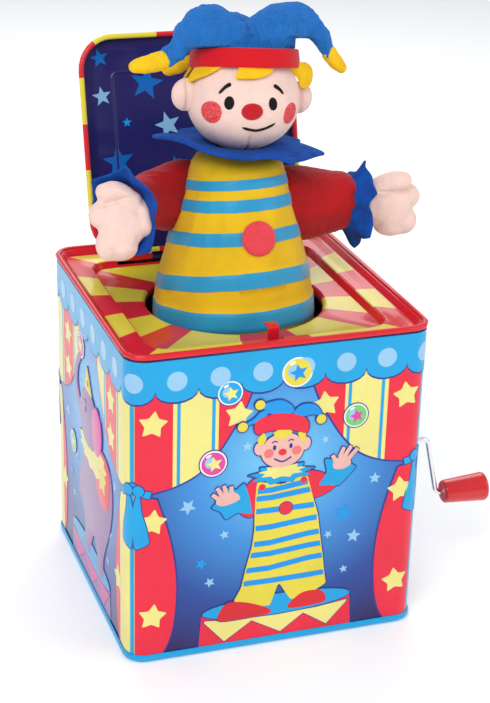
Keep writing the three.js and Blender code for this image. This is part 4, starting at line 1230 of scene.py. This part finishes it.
SIM_SCALE = 10  # the simulation runs on a copy this much bigger, at the size of a cushion
SIM_FRAMES = 20


def noise3(p, size, seed=0.0):
    """Smooth noise from -1 to 1 with features of a size in millimetres."""
    return noise.noise(Vector((p[0] / size + seed, p[1] / size - seed, p[2] / size + 2 * seed)))


def folds(p, size, seed=0.0):
    """Ridged noise from 0 to 1: narrow valleys between soft swellings, as pulled cloth has."""
    return abs(noise3(p, size, seed))


def reshape(obj, move):
    """Moves every vertex: move(point in mm, normal) gives its new place in mm."""
    mesh = obj.data
    normals = [v.normal.copy() for v in mesh.vertices]
    for v, n in zip(mesh.vertices, normals):
        v.co = move(v.co / MM, n) * MM
    mesh.update()


def modify(obj, kind, **settings):
    """Applies one modifier at once."""
    modifier = obj.modifiers.new(kind.lower(), kind)
    for key, value in settings.items():
        setattr(modifier, key, value)
    bake_modifiers(obj)


def soften(obj):
    """Shades a piece smoothly."""
    obj.data.polygons.foreach_set("use_smooth", [True] * len(obj.data.polygons))


def puff(obj, pressure, cap):
    """Cloth pressure fills a closed piece; no point ends further than cap mm from its start."""
    scene = bpy.context.scene
    obj.data.transform(Matrix.Scale(SIM_SCALE, 4))
    start = np.array([v.co for v in obj.data.vertices])
    cloth = obj.modifiers.new("cloth", "CLOTH")
    cloth.settings.use_pressure = True
    cloth.settings.uniform_pressure_force = pressure
    cloth.settings.quality = 5
    cloth.settings.mass = 0.3
    cloth.settings.effector_weights.gravity = 0
    cloth.point_cache.frame_start = 1
    cloth.point_cache.frame_end = SIM_FRAMES
    for at in range(1, SIM_FRAMES + 1):
        scene.frame_set(at)
    bake_modifiers(obj)
    scene.frame_set(1)
    limit = cap * MM * SIM_SCALE
    for v, home in zip(obj.data.vertices, start):
        move = v.co - Vector(home)
        if move.length > limit:
            v.co = Vector(home) + move * (limit / move.length)
    obj.data.transform(Matrix.Scale(1 / SIM_SCALE, 4))


def stuffed(name, shells, ink, voxel, smoothing, cap, pressure=4.0):
    """Overlapping closed shells melted into one sewn form, smoothed, then filled by pressure."""
    points, faces = [], []
    for shell_points, shell_faces in shells:
        faces += [tuple(len(points) + k for k in f) for f in shell_faces]
        points += shell_points
    obj = make(name, points, faces, ink, body=None)
    modify(obj, "REMESH", mode="VOXEL", voxel_size=voxel * MM)
    modify(obj, "SMOOTH", factor=0.5, iterations=smoothing)
    puff(obj, pressure, cap)
    modify(obj, "SUBSURF", levels=1)
    obj.data.materials.clear()
    obj.data.materials.append(INK[ink])
    soften(obj)
    return obj


def rings_of(rows, steps, point):
    """Rings of points: point(*row, angle) for every row and for every angle once round."""
    angles = [TAU * j / steps for j in range(steps)]
    return [[point(*row, a) for a in angles] for row in rows]


def shell(rings):
    """A closed form as (points, faces)."""
    return flatten(rings), loft_faces(len(rings), len(rings[0]), caps=(True, True))


def ball_shell(at, radii, steps=20):
    """An ellipsoid, or a ball when radii is one value."""
    radii = (radii,) * 3 if isinstance(radii, (int, float)) else radii
    rows = [(math.sin(math.pi * i / steps), -math.cos(math.pi * i / steps)) for i in range(1, steps)]
    return shell([[Vector(at) + Vector((p.x * radii[0], p.y * radii[1], p.z * radii[2])) for p in ring]
                  for ring in turned(rows, steps * 2)])


def chain_shells(path, radii, steps=6):
    """A limb: balls along a flowing path, their radii blended between the given ones."""
    line = smooth_path(path, steps)
    shells = []
    for i, p in enumerate(line):
        t = i / (len(line) - 1) * (len(radii) - 1)
        k = min(int(t), len(radii) - 2)
        shells.append(ball_shell(p, radii[k] + (radii[k + 1] - radii[k]) * (t - k), 14))
    return shells


def sheet_piece(name, rings, ink, thickness, caps=(False, False)):
    """An open sheet of cloth given thickness and rounded edges."""
    obj = lofted(name, rings, ink, caps, body=None)
    modify(obj, "SOLIDIFY", thickness=thickness * MM, offset=0)
    modify(obj, "SUBSURF", levels=1)
    soften(obj)
    return obj


def put_at(obj, place):
    """Moves a piece from its own axes to its place, a matrix in millimetres."""
    obj.data.transform(Matrix.Scale(MM, 4) @ place @ Matrix.Scale(1 / MM, 4))


def declare_sheet(flat):
    """Turns the size a sheet was cut to, in millimetres, into metres; the result is not kept."""
    flat = tuple(f * MM for f in flat)


# ---- Gown --------------------------------------------------------------------------------------------

GOWN_LOW, GOWN_TOP = 6.0, 213.6
# The cone's radius at each height.
GOWN_SHAPE = [(6, 36.4), (60, 37.4), (135, 37.7), (146, 37.1), (160, 34.6), (176, 30.4), (206, 21.5),
              (209, 20.7), (212, 18.2), (213.6, 12.5)]
# The upper and lower edge of each ribbon at the sides, and how much higher it lies at the front.
RIBBONS = [(202.5, 198.2, 4.4), (193.9, 188.7, 4.6), (179.3, 173.5, 5.7), (159.3, 152.4, 8.2),
           (145.2, 136, 5), (124, 118, 3), (104, 98, 2), (84, 78, 1), (62, 56, 0), (40, 34, 0), (20, 14, 0)]
RIBBON_FRONT = math.radians(5)
RIBBON_LIFT, RIBBON_EDGE = 0.35, 0.25  # how far a ribbon stands off the cloth, and its sloped edge


def gown_radius(z):
    return float(np.interp(z, *zip(*GOWN_SHAPE)))


def gown_fold(angle, z):
    """How far the cloth falls back in its folds, in mm."""
    across = (math.sin(angle) * 26, math.cos(angle) * 26, z * 0.16)
    broad = folds(across, 11, 3.1)
    side = bell((math.degrees(angle) % 360 - 292) / 9)
    return 0.25 + 1.5 * broad * min(1, (212 - z) / 30) + 1.1 * side * min(1, (200 - z) / 40)


def gown_point(level, rise, lift, angle):
    z = level + rise * math.cos(angle - RIBBON_FRONT)
    r = gown_radius(z) + lift - gown_fold(angle, z)
    return Vector((r * math.sin(angle), -r * math.cos(angle), z))


def gown():
    """A yellow cone of cloth with satin ribbons sewn round it, drawn in at the neck."""
    edges = [(GOWN_TOP, 0.0, 0.0)]
    for upper, lower, rise in RIBBONS:
        edges += [(upper + RIBBON_EDGE, rise, 0.0), (upper, rise, RIBBON_LIFT), (lower, rise, RIBBON_LIFT),
                  (lower - RIBBON_EDGE, rise, 0.0)]
    edges.append((GOWN_LOW, 0.0, 0.0))
    rows, satin = [], []
    for start, end in zip(edges, edges[1:]):
        parts = max(1, round(abs(start[0] - end[0]) / 2.2))
        for t in (i / parts for i in range(parts)):
            rows.append([a + (b - a) * t for a, b in zip(start, end)])
            satin.append(start[2] > 0 and end[2] > 0)
    rows.append(edges[-1])
    steps = 180
    rings = rings_of(rows, steps, gown_point)
    inner = [[Vector((p.x, p.y, 0)) * (1 - 0.7 / p.xy.length) + Vector((0, 0, p.z)) for p in ring]
             for ring in rings[::-4]]
    faces = closed_loft(len(rings) + len(inner), steps)
    inks = [1 if i // steps < len(satin) and satin[i // steps] else 0 for i in range(len(faces))]
    cloth = make("gown", flatten(rings + inner), faces, ["gown", "ribbon"], inks, sharp=60,
                 replaces=["doll_gown"], slot="gown_satin")
    declare_sheet((240, 212))
    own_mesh(cloth)


def button():
    """A padded satin disc on the chest, its cover gathered to the middle in radial pleats."""
    middle, radius = 181.6, 7.8
    slope = math.atan2(18.5, 60)  # how far the gown leans back there
    profile = [(0.02, 1.75), (0.12, 1.9), (0.3, 2.15), (0.55, 2.2), (0.8, 1.9), (0.93, 1.35), (1.0, 0.7),
               (0.99, 0.1), (0.9, -0.3), (0.02, -0.3)]

    def point(share, height, a):
        pleat = 0.11 * math.sin(18 * a) * min(1, share * 2.5) * (1 if height > 0 else 0)
        r = radius * share
        across, up, out = 1.2 + r * math.cos(a), r * math.sin(a), height + pleat
        y = -(gown_radius(middle) - 0.6) - out * math.cos(slope)
        z = middle + up * math.cos(slope) + out * math.sin(slope)
        return Vector((across, y + up * math.sin(slope), z))

    disc = lofted("chest_button", rings_of(rounded(profile, 0.05, 2), 72, point), "coral_satin",
                  replaces=["belly_button"], slot="button_coral")
    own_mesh(disc)


# ---- Arms --------------------------------------------------------------------------------------------

# Where each arm starts, which way it points (degrees), where its sleeve's root is, how far the root is
# drawn sideways to the shoulder, how flat the sleeve lies, how much it narrows to the cuff, the seed of
# its creases and the way it folds in when the jack goes down (degrees).
ARMS = {
    "right": {"at": (0, 0, 188.5), "heading": 0, "tilt": -5, "root": 13, "bend": 0, "flat": 0.78,
              "taper": 0, "seed": 5.0, "fold_way": 0},
    "left": {"at": (-17.5, 29, 189.5), "heading": 228, "tilt": 4, "root": 8, "bend": 14, "flat": 0.62,
             "taper": 0.24, "seed": 9.0, "fold_way": 203},
}
FOREARM = 45  # how far along the arm the shoulder's bend reaches
HAND_AT = (-60.6, -18.6, 190.6)  # the middle of the left hand


def arm_frame(side):
    arm = ARMS[side]
    heading, tilt = math.radians(arm["heading"]), -math.radians(arm["tilt"])
    turn = Matrix.Rotation(heading, 4, "Z") @ Matrix.Rotation(tilt, 4, "Y")
    return Matrix.Translation(arm["at"]) @ turn


def hand_frame(side):
    """The right hand follows its arm; the left one droops sideways, its palm to the front."""
    if side == "right":
        return arm_frame(side)
    along = Vector((-0.95, -0.06, -0.12)).normalized()
    palm = Vector((-0.30, -0.87, 0.39))
    palm = (palm - along * palm.dot(along)).normalized()
    turn = Matrix((along, palm, along.cross(palm))).transposed().to_4x4()
    shorter = Matrix.Diagonal((0.86, 1, 1, 1))
    return Matrix.Translation(HAND_AT) @ turn @ shorter @ Matrix.Translation((-77, 0, 0))


def ride_arm(obj, side, replaces, slot):
    """An arm piece goes with the doll."""
    finish_piece(obj, "jack", replaces, slot)
    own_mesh(obj)


def sleeve(side):
    """A wide sleeve, its cloth dragged from the armhole and gathered into the cuff."""
    arm = ARMS[side]
    profile = smooth_path([(arm["root"], 15.5, 0), (20, 17.6, 0), (28, 17.6, 0.3), (36, 16.6, 0.8),
                           (44, 15.0, 1.3), (51, 13.4, 1.8), (54.5, 12.0, 2), (56, 8.0, 2)], 5)

    def point(x, half, lift, a):
        gather = 0.45 * max(0, (x - 38) / 18) * math.sin(13 * a + 1.5 * math.sin(a))
        r = half + gather
        narrow = arm["taper"] * clamp((x - 14) / 24)
        return Vector((x, r * arm["flat"] * math.cos(a), r * (1 - narrow) * math.sin(a) + lift))

    def crease(p, n):
        drag = (p.x * 0.35 + p.z * 0.12, p.y * 0.5, p.z - p.x * 0.28)
        deep = 1.5 * folds(drag, 8.5, arm["seed"]) + 0.4 * folds(p, 4.2, arm["seed"]) - 0.6
        share = max(0, (FOREARM - p.x) / (FOREARM - arm["root"]))
        return p - n * deep + Vector((0, arm["bend"] * share ** 2, 0))

    obj = stuffed(f"sleeve_{side}_cloth", [shell(rings_of(profile, 64, point))], "sleeve", voxel=1.1,
                  smoothing=3, cap=0.7, pressure=3.0)
    reshape(obj, crease)
    put_at(obj, arm_frame(side))
    ride_arm(obj, side, [f"sleeve_{side}"], "sleeve_red")


# Reach of the valleys, extra reach of the points, ripple, turn, and how much shorter it is low at the back.
FRILLS = {"right": (16.2, 5.4, 1.9, 0.0, 0.0), "left": (18.4, 3.2, 1.5, 0.5, 0.34)}
WRIST_R = 10.6


def cuff(side):
    """A velour frill with six pointed petals, rippling fore and aft round the wrist."""
    rows, petals = 14, 6
    valley, reach_out, ripple, turn, short = FRILLS[side]

    def point(s, a):
        tip = 1 - abs(math.sin(petals / 2 * (a - math.pi / 2) + turn))
        wave = noise3((math.cos(a) * 12, math.sin(a) * 12, 0), 8, 2.0 + turn)
        reach = WRIST_R + (valley - WRIST_R) * s + reach_out * tip * s * s + 1.1 * wave * s
        low = ((a - math.radians(215) + math.pi) % TAU - math.pi) / math.radians(48)
        reach *= 1 - short * s * math.exp(-low * low)
        flutter = ripple * s * math.sin(petals * a + 1.1 + 2 * wave)
        x = 52.8 + s * (7.2 + 2.4 * tip) + flutter + 1.2 * wave * s
        return Vector((x, reach * (0.8 + 0.08 * s) * math.cos(a), reach * math.sin(a)))

    rings = rings_of([(i / (rows - 1),) for i in range(rows)], 180, point)
    obj = sheet_piece(f"cuff_{side}_frill", rings, "velour", 1.3)
    put_at(obj, arm_frame(side))
    ride_arm(obj, side, [f"cuff_{side}"], "velour_blue")
    declare_sheet((108, 13))


def hand(side):
    """A stuffed mitten: palm, a thumb laid along the top and two sewn finger bumps."""
    near = -1 if side == "right" else 1
    tall = 1.0 if side == "right" else 1.12
    thumb_path = [(66, near * 1.5, 8), (73, near * 2.4, 12.2 * tall), (80, near * 2.2, 13 * tall)]
    shells = [
        ball_shell((70, 0, -0.5), (8.5, 6.0, 10.5)),
        ball_shell((76.5, 0, -1.5), (11.0, 6.8, 12.6 * tall)),
        ball_shell((84, 0, 4.6 * tall), (6.6, 5.6, 6.6)),
        ball_shell((84.2, 0, -7.6 * tall), (6.6, 5.6, 7.2)),
        ball_shell((77.5, 0, -10.6 * tall), (8.5, 5.2, 5.0)),
        *chain_shells(thumb_path, [5, 5, 4.4]),
        ball_shell((63, 0, 0), (6, 6.5, 9)),
    ]

    def seams(p, n):
        thumb = bell((p.z - 8.2 * tall + 0.04 * (p.x - 72)) / 0.9) * bell(max(0, p.x - 84))
        thumb *= max(0, n.y * near) * bell(min(0, p.x - 68) / 3)
        side_seam = bell(p.y / 0.5) * 0.35
        return p - n * (0.8 * thumb + side_seam + 0.35 * folds(p, 7, 4.0))

    obj = stuffed(f"hand_{side}_plush", shells, "skin", voxel=0.9, smoothing=7, cap=0.5)
    reshape(obj, seams)
    put_at(obj, hand_frame(side))
    ride_arm(obj, side, [f"hand_{side}"], "plush_skin")


# ---- Head --------------------------------------------------------------------------------------------


def on_head(azimuth, elevation, out=0.0):
    """A point on the head, by degrees from the front and above the middle, and mm off its surface."""
    a, e = math.radians(azimuth), math.radians(elevation)
    way = Vector((math.cos(e) * math.sin(a), -math.cos(e) * math.cos(a), math.sin(e)))
    return HEAD + Vector([w * (r + out) for w, r in zip(way, HEAD_R)])


HAT_LEAN = Matrix.Rotation(HEAD_TURN, 3, "Z") @ Matrix.Rotation(-HEAD_NOD, 3, "X")


def on_hat(p):
    """A point of the upright hat, leaned back and turned with the head."""
    return HEAD + HAT_LEAN @ Vector(p)


def above_band(p):
    """Lifts cloth that hangs out past the band to the band's top edge, higher under the right horn."""
    q = HAT_LEAN.transposed() @ (p - HEAD)
    reach = math.hypot(q.x - 1, q.y)
    level = 21.6 + 4.2 * clamp((q.x - 8) / 8)
    if reach > 22.4 and q.z < level:
        q.z += (level - q.z) * 0.96 * clamp((33 - reach) / 5)
    return HEAD + HAT_LEAN @ q


CHIN_AZIMUTH = -9.0  # where the middle of the face is, in degrees from the front
DART_WIDTH = 0.55


def head():
    """A stuffed plush ball with a dart sewn up to the mouth and one down the back."""
    columns, rows = 220, 150
    rings = []
    for i in range(1, rows):
        e = -90 + 180 * i / rows
        width = math.cos(math.radians(e)) * 25
        jaw = -1.0 * bell((e + 58) / 20)
        ring = []
        for j in range(columns):
            a = 360 * j / columns
            off = (a - CHIN_AZIMUTH + 180) % 360 - 180
            back_off = (off + 360) % 360 - 180
            front = bell(math.radians(off) * width / DART_WIDTH) * clamp((-24 - e) / 8)
            back = bell(math.radians(back_off) * width / DART_WIDTH)
            ripple = 0.22 * noise3(on_head(a, e), 9, 1.0)
            ring.append(on_head(a, e, cheek_lift(off, e) + jaw + ripple - 0.75 * front - 0.6 * back))
        rings.append(ring)
    ball = lofted("head_plush", rings, "skin", sharp=60, body="jack", replaces=["head"], slot="plush_skin")


def cheek_lift(off, elevation):
    """How far the cheeks lift the face, off degrees to a side of its middle."""
    return 0.9 * math.exp(-((abs(off) - 38) / 26) ** 2 - ((elevation + 8) / 20) ** 2)


def swell(azimuth, elevation):
    """How far the cheeks lift the face at a place on the head."""
    return cheek_lift(azimuth - CHIN_AZIMUTH, elevation)


def embroidered(name, azimuth, elevation, half_az, half_el, ink, rise, teeth=0, satin=0.0, tilt=0.0):
    """A satin-stitched patch on the face: a low pillow with stitched edge and thread lines."""
    rows = 16
    c, s = math.cos(tilt), math.sin(tilt)

    def point(share, t):
        edge = 1 + 0.045 * math.sin(teeth * t) * share
        across, up = math.cos(t) * share * edge, math.sin(t) * share * edge
        da, de = (across * c - up * s) * half_az, (across * s + up * c) * half_el
        lines = satin * math.sin(de * 9.5) * (1 - share ** 4)
        out = rise * (1 - share ** 6) + lines + swell(azimuth + da, elevation + de) - 0.1
        return on_head(azimuth + da, elevation + de, out)

    rings = rings_of([(max(0.02, i / rows),) for i in range(rows + 1)], 96, point)
    rings.append([on_head(azimuth, elevation, -1.0).lerp(p, 0.9) for p in rings[-1]])
    lofted(name, rings, ink, body="jack", slot="thread_black" if ink == "thread" else "velour_red")


def stitched_line(name, path, start, end):
    """A raised line of black satin stitch, from one thickness to another."""
    points = [on_head(*p, swell(*p) + 0.05) for p in smooth_path(path, 10)]
    last = len(points) - 1

    def radius(t):
        taper = min(1, 0.45 + 6 * min(t, 1 - t))
        return (start + (end - start) * t) * taper * (1 + 0.08 * math.sin(t * last * 2.4))

    lofted(name, tube(points, radius, 14), "thread", body="jack", slot="thread_black")


def face():
    embroidered("nose_stitch", -8.6, 1, 11.2, 9.2, "nose_satin", rise=1.0, teeth=34, satin=0.05)
    embroidered("cheek_left", -50.6, -1.7, 13.0, 12.3, "cheek", rise=0.35, teeth=30)
    embroidered("cheek_right", 37.0, -6.2, 12.6, 12.3, "cheek", rise=0.35, teeth=30)
    embroidered("eye_left", -31.8, 9.5, 5.2, 7.0, "thread", rise=0.6, satin=0.03, tilt=0.08)
    embroidered("eye_right", 13.2, 7.4, 4.9, 6.8, "thread", rise=0.6, satin=0.03, tilt=-0.05)
    mouth = [(-18, -16.1), (-10.2, -18.8), (-2.7, -20.0), (6.8, -17.6), (16.2, -13.0)]
    stitched_line("mouth", mouth, 0.62, 0.6)
    stitched_line("brow_left", [(-32.1, 29.0), (-37.9, 25.0), (-43.8, 17.8)], 0.95, 0.55)
    stitched_line("brow_right", [(17.9, 26.2), (23.6, 21.2), (27.3, 15.7)], 0.95, 0.5)


def ears():
    """Flat stuffed ears, each folded forward along a stitched line."""
    for side, name in ((-1, "left"), (1, "right")):
        middle = Vector((HEAD.x + side * 26.0, 0.5, HEAD.z + 0.8 - 2.3 * side))
        obj = stuffed(f"ear_{name}_plush", [ball_shell(middle, (6.8, 3.8, 7.5))], "skin", voxel=0.7,
                      smoothing=3, cap=0.4)

        def fold(p, n, side=side, middle=middle):
            line = (p.x - middle.x) * side - 0.4
            return p - n * (1.1 * max(0, -n.y) * bell(line / 0.9))

        reshape(obj, fold)
        finish_piece(obj, "jack", [f"ear_{name}"], "plush_skin")


# The outline of each leaf of hair, in degrees from the front and above the middle of the head.
LOCKS = {
    "front": [(-24, 52), (0, 54), (26, 50), (25, 43), (17, 38.5), (6, 35), (-6, 33.4), (-18, 33.6), (-27, 34),
              (-25, 42)],
    "left": [(-46, 50), (-52, 42), (-62, 34), (-74, 27), (-88, 20), (-92, 26), (-92, 38), (-84, 48),
             (-64, 54)],
    "right": [(62, 52), (64, 40), (74, 30), (86, 20), (98, 16), (103, 24), (103, 38), (94, 48), (76, 54)],
    "right_back": [(110, 44), (112, 30), (120, 18), (132, 12), (142, 18), (146, 32), (144, 44)],
    "back": [(160, 40), (160, 26), (168, 12), (180, 6), (192, 12), (199, 26), (198, 40)],
    "left_back": [(-104, 44), (-106, 30), (-114, 16), (-126, 10), (-138, 16), (-144, 30), (-142, 42)],
}


LEAF_ROWS = (0.03, 0.25, 0.5, 0.75, 0.92, 1.0)  # shares of the way from a leaf's middle to its edge


def hair():
    """Leaves of yellow felt sewn in under the hat band."""
    for number, (name, outline) in enumerate(LOCKS.items()):
        edge = blob(outline, 6)
        a0, e0 = (sum(values) / len(edge) for values in zip(*edge))
        rings = []
        for share in LEAF_ROWS:
            ring = []
            for a, e in edge:
                azimuth, elevation = a0 + (a - a0) * share, e0 + (e - e0) * share
                lift = 1.1 + 0.045 * max(0, 46 - elevation)
                lift += 0.3 * noise3((azimuth, elevation, number * 9), 14)
                ring.append(on_head(azimuth, elevation, lift + swell(azimuth, elevation)))
            rings.append(ring)
        felt_leaf(name, rings)
    felt_leaf("over_ear", ear_lock_rings(), cut=(13, 13))


# The leaf that stands out over the right ear, at places found on the photograph's line of sight.
EAR_LOCK = [(19.6, -8.2, 254.2), (20.4, -7.9, 251.6), (25.3, -6, 246.3), (26.6, -5.6, 242.6),
            (30.5, -4, 241.4), (33, -3, 245), (32.2, -3.3, 250.5), (27.1, -5.3, 253.9)]


def ear_lock_rings():
    middle = sum((Vector(p) for p in EAR_LOCK), Vector()) / len(EAR_LOCK)
    steps = 6
    edge = smooth_path([EAR_LOCK[-1], *EAR_LOCK, EAR_LOCK[0]], steps)[steps:-steps - 1]
    return [[middle.lerp(p, share) + Vector((0.3, -1.2, 0.2)) * (1 - share ** 2) for p in edge]
            for share in LEAF_ROWS]


def felt_leaf(name, rings, cut=(24, 14)):
    obj = sheet_piece(f"lock_{name}", rings, "felt", 1.1, caps=(True, False))
    finish_piece(obj, "jack", ["hair"], "felt_yellow")
    declare_sheet(cut)


# ---- Hat ---------------------------------------------------------------------------------------------


def ride_hat(obj, replaces, slot):
    """A piece of the hat goes with the doll."""
    finish_piece(obj, "jack", replaces, slot)
    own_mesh(obj)


def hat_band():
    """A folded band of red cloth round the head."""
    profile = rounded([(22.6, 12.4), (24.2, 12.5), (24.35, 16), (23.9, 20.6), (22.2, 20.9), (22.0, 16),
                       (22.6, 12.4)], 0.7, 3)[:-1]

    def point(r, h, a):
        r += 0.35 * noise3((math.cos(a) * 20, math.sin(a) * 20, h * 0.4), 9, 2.0)
        return on_hat((1.0 + r * math.cos(a), r * math.sin(a) * 0.985, h + 0.5 * math.sin(2 * a + 0.7)))

    rings = rings_of(profile, 160, point)
    faces = closed_loft(len(rings), len(rings[0]))
    band = make("hat_band_cloth", flatten(rings), faces, "band", sharp=60, body=None)
    ride_hat(band, ["hat_band"], "velour_red")
    declare_sheet((154, 10))


# Each horn: the path and the radii of its cloth, and the path of its felt end.
HORNS = {
    "left": ([(-6, 1, 264), (-14, 0, 268.6), (-20.5, -1, 269.6), (-24.8, -2, 267), (-28, -2.5, 262.8),
              (-31.9, -2.6, 259.5), (-35.8, -2.6, 257.3)], [11.5, 10.8, 7.6, 6.0, 5.2, 4.5, 4.0],
             [(-36.2, -2.6, 257), (-42.5, -2.6, 255.8), (-48, -2.6, 255)]),
    "right": ([(11, 1, 264), (20, 1, 268), (26.5, 0.5, 270), (31.8, 0, 268), (36.8, -0.8, 264),
               (39.8, -1.3, 260), (41.2, -1.6, 256.4)], [11.5, 10.6, 7.8, 6.0, 4.7, 3.8, 3.3],
              [(41.4, -1.7, 255.8), (44.3, -2.3, 252), (47, -2.8, 249.2)]),
    "back": ([(0, 14, 264), (-5, 22, 263), (-10.5, 28, 257.5), (-13.5, 32, 250.5)],
             [11.0, 8.4, 6.2, 4.6], [(-13.8, 32.3, 249.8), (-17.2, 36, 245.4), (-20.5, 39.5, 242.4)]),
}


def hat():
    """A soft crown that sags between two fat lobes and runs out into three horns."""
    shells = [ball_shell(on_hat((0.5, 1, 22.5)), (21.0, 19.5, 12.5))]
    for height, r in ((21.5, 22.6), (24.5, 22.0)):
        shells.append(ball_shell(on_hat((0.8, 0.5, height)), (r, r * 0.96, 3.6)))
    for path, radii, _ in HORNS.values():
        shells += chain_shells(path, radii)

    def sag(p, n):
        fold = max(0, 1 - abs(p.x - 5.6) / 8.5) ** 1.3 * bell((p.y + 11) / 7.5)
        notch = (8.5 * fold + 3.2 * bell((p.x - 3.0) / 9.0)) * max(0, n.z)
        along = (p.x * 0.9, p.y * 0.5, p.z * 0.55 + p.x * 0.25)
        limb = clamp((abs(p.x - 3) - 12) / 12)
        crease = (1.2 + 1.5 * limb) * folds(along, 6.5, 7.0) + 0.7 * folds(p, 3.6, 2.0)
        seam = 0.8 * bell((p.x - 5.8) / 0.55) * max(0, -n.y)
        return above_band(p - n * (crease + seam - 0.75) - Vector((0, 0, notch)))

    obj = stuffed("hat_cloth", shells, "hat", voxel=1.0, smoothing=6, cap=0.5)
    reshape(obj, sag)
    ride_hat(obj, ["hat_crown", "hat_tail_left", "hat_tail_right", "hat_tail_back"], "velour_blue")
    for name, (_, radii, tip) in HORNS.items():
        start = radii[-1] + 0.2
        shells = chain_shells(tip, [start, start * 0.95, start * 0.7], 5)
        end = stuffed(f"horn_end_{name}", shells, "felt", voxel=0.7, smoothing=5, cap=0.4)
        reshape(end, lambda p, n: p - n * (0.5 * folds(p, 4.5, 3.0) - 0.15))
        ride_hat(end, [f"hat_tip_{name}"], "felt_yellow")


# ---- Collar ------------------------------------------------------------------------------------------

# How far the collar reaches at each azimuth: its points and the valleys between them.
COLLAR_EDGE = [(-152, 37), (-132, 31), (-102, 38.5), (-72, 33), (-52, 31.5), (-38, 30.5), (-17, 29.5),
               (16, 29.5), (28, 34.8), (38, 30), (74, 39.5), (90, 30), (106, 35), (130, 30), (160, 39),
               (184, 31), (208, 37)]
COLLAR_INNER = 9


def collar_reach(azimuth):
    azimuth = (azimuth + 152) % 360 - 152
    for (a0, r0), (a1, r1) in zip(COLLAR_EDGE, COLLAR_EDGE[1:]):
        if a0 <= azimuth <= a1:
            t = (azimuth - a0) / (a1 - a0)
            sharp = t * t if r1 > r0 else 1 - (1 - t) ** 2
            return r0 + (r1 - r0) * (0.5 * t + 0.5 * sharp)
    return COLLAR_EDGE[-1][1]


def towards(azimuth, middle, width):
    """1 at a middle azimuth, falling to nothing some degrees to either side."""
    return bell(((azimuth - middle + 180) % 360 - 180) / width)


def collar():
    """A pointed jester's collar of blue velour, standing out under the chin."""
    steps, rows = 240, 16
    rings = []
    for i in range(rows):
        s = i / (rows - 1)
        ring = []
        for j in range(steps):
            azimuth = 360 * j / steps
            a = math.radians(azimuth)
            r = COLLAR_INNER + (collar_reach(azimuth) - COLLAR_INNER) * s
            x, y = r * math.sin(a), -r * math.cos(a)
            wave = 1.3 * s * noise3((math.sin(a) * 20, math.cos(a) * 20, s * 8), 9, 6.0)
            wave += 0.9 * s * s * math.sin(5 * a + 1)
            raised = 1.2 * s * s * towards(azimuth, 258, 28)
            z = 214.8 + 3.8 * s - 1.6 * s * s * max(0, (r - 30) / 9) - 0.14 * x * s + raised + wave
            under_chin = HEAD.z - HEAD_R.z * math.sqrt(max(0, 1 - ((r + 1) / HEAD_R.x) ** 2)) - 1.6
            z = max(z, min(z + 4 * (1 - s) ** 2, under_chin))
            z -= 6.5 * s * s * towards(azimuth, 222, 30)
            ring.append(Vector((x, y, z)))
        rings.append(ring)
    obj = sheet_piece("collar_velour", rings, "velour", 1.8)
    finish_piece(obj, "jack", ["collar"], "velour_blue")
    declare_sheet((84, 80))
    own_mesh(obj)


# ---- Camera, floor and light -------------------------------------------------------------------------


def camera():
    """The photograph's viewpoint: a little left of the front, looking down."""
    azimuth, elevation, roll = (math.radians(a) for a in (-19.24, 23.23, 1.52))
    back = Vector((math.sin(azimuth) * math.cos(elevation), -math.cos(azimuth) * math.cos(elevation),
                   math.sin(elevation)))
    right = (-back).cross(Vector((0, 0, 1))).normalized()
    up = right.cross(-back)
    across = right * math.cos(roll) + up * math.sin(roll)
    above = up * math.cos(roll) - right * math.sin(roll)
    data = bpy.data.cameras.new("camera")
    data.lens = 89.57
    data.sensor_width = 36
    data.clip_start = 0.01
    made = bpy.data.objects.new("camera", data)
    bpy.context.scene.collection.objects.link(made)
    aim, distance = Vector((6.11, 0, 115.48)), 820.2
    at = (aim + back * distance) * MM
    made.matrix_world = Matrix.Translation(at) @ Matrix((across, above, back)).transposed().to_4x4()
    bpy.context.scene.camera = made


def floor_and_light():
    """A seamless pale floor under a soft studio light."""
    bpy.ops.mesh.primitive_plane_add(size=30)
    floor = bpy.context.object
    floor.name = "floor"
    mat, _, bsdf = shader("floor_paper", (0.86, 0.86, 0.86), 0.8)
    bsdf.inputs["Emission Color"].default_value = (1, 1, 1, 1)
    bsdf.inputs["Emission Strength"].default_value = 0.18
    floor.data.materials.append(mat)
    floor.location.z = -0.0003
    world = bpy.data.worlds.new("studio")
    world.use_nodes = True
    world.node_tree.nodes["Background"].inputs["Color"].default_value = (0.93, 0.96, 1, 1)
    world.node_tree.nodes["Background"].inputs["Strength"].default_value = 0.62
    bpy.context.scene.world = world
    bpy.context.scene.view_settings.view_transform = "Standard"
    for name, at, size, power in (("key", (-0.55, -0.75, 1.0), 0.7, 8), ("fill", (0.9, -0.6, 0.6), 0.9, 2.6),
                                  ("rim", (0.2, 0.9, 0.9), 0.8, 5)):
        light = bpy.data.lights.new(name, "AREA")
        light.size = size
        light.energy = power
        lamp = bpy.data.objects.new(name, light)
        lamp.location = at
        lamp.rotation_euler = (Vector((0, 0, 0.14)) - Vector(at)).to_track_quat("-Z", "Y").to_euler()
        bpy.context.scene.collection.objects.link(lamp)


tin_walls()
base_tin()
deck()
lid_tin()
printed_panels()
lid_print()
lid_press_line()
crank()
hinge_rivets()
springs()
inner_works()
gown()
button()
for side in ARMS:
    sleeve(side)
    cuff(side)
    hand(side)
head()
face()
ears()
hair()
hat_band()
hat()
collar()
camera()
floor_and_light()
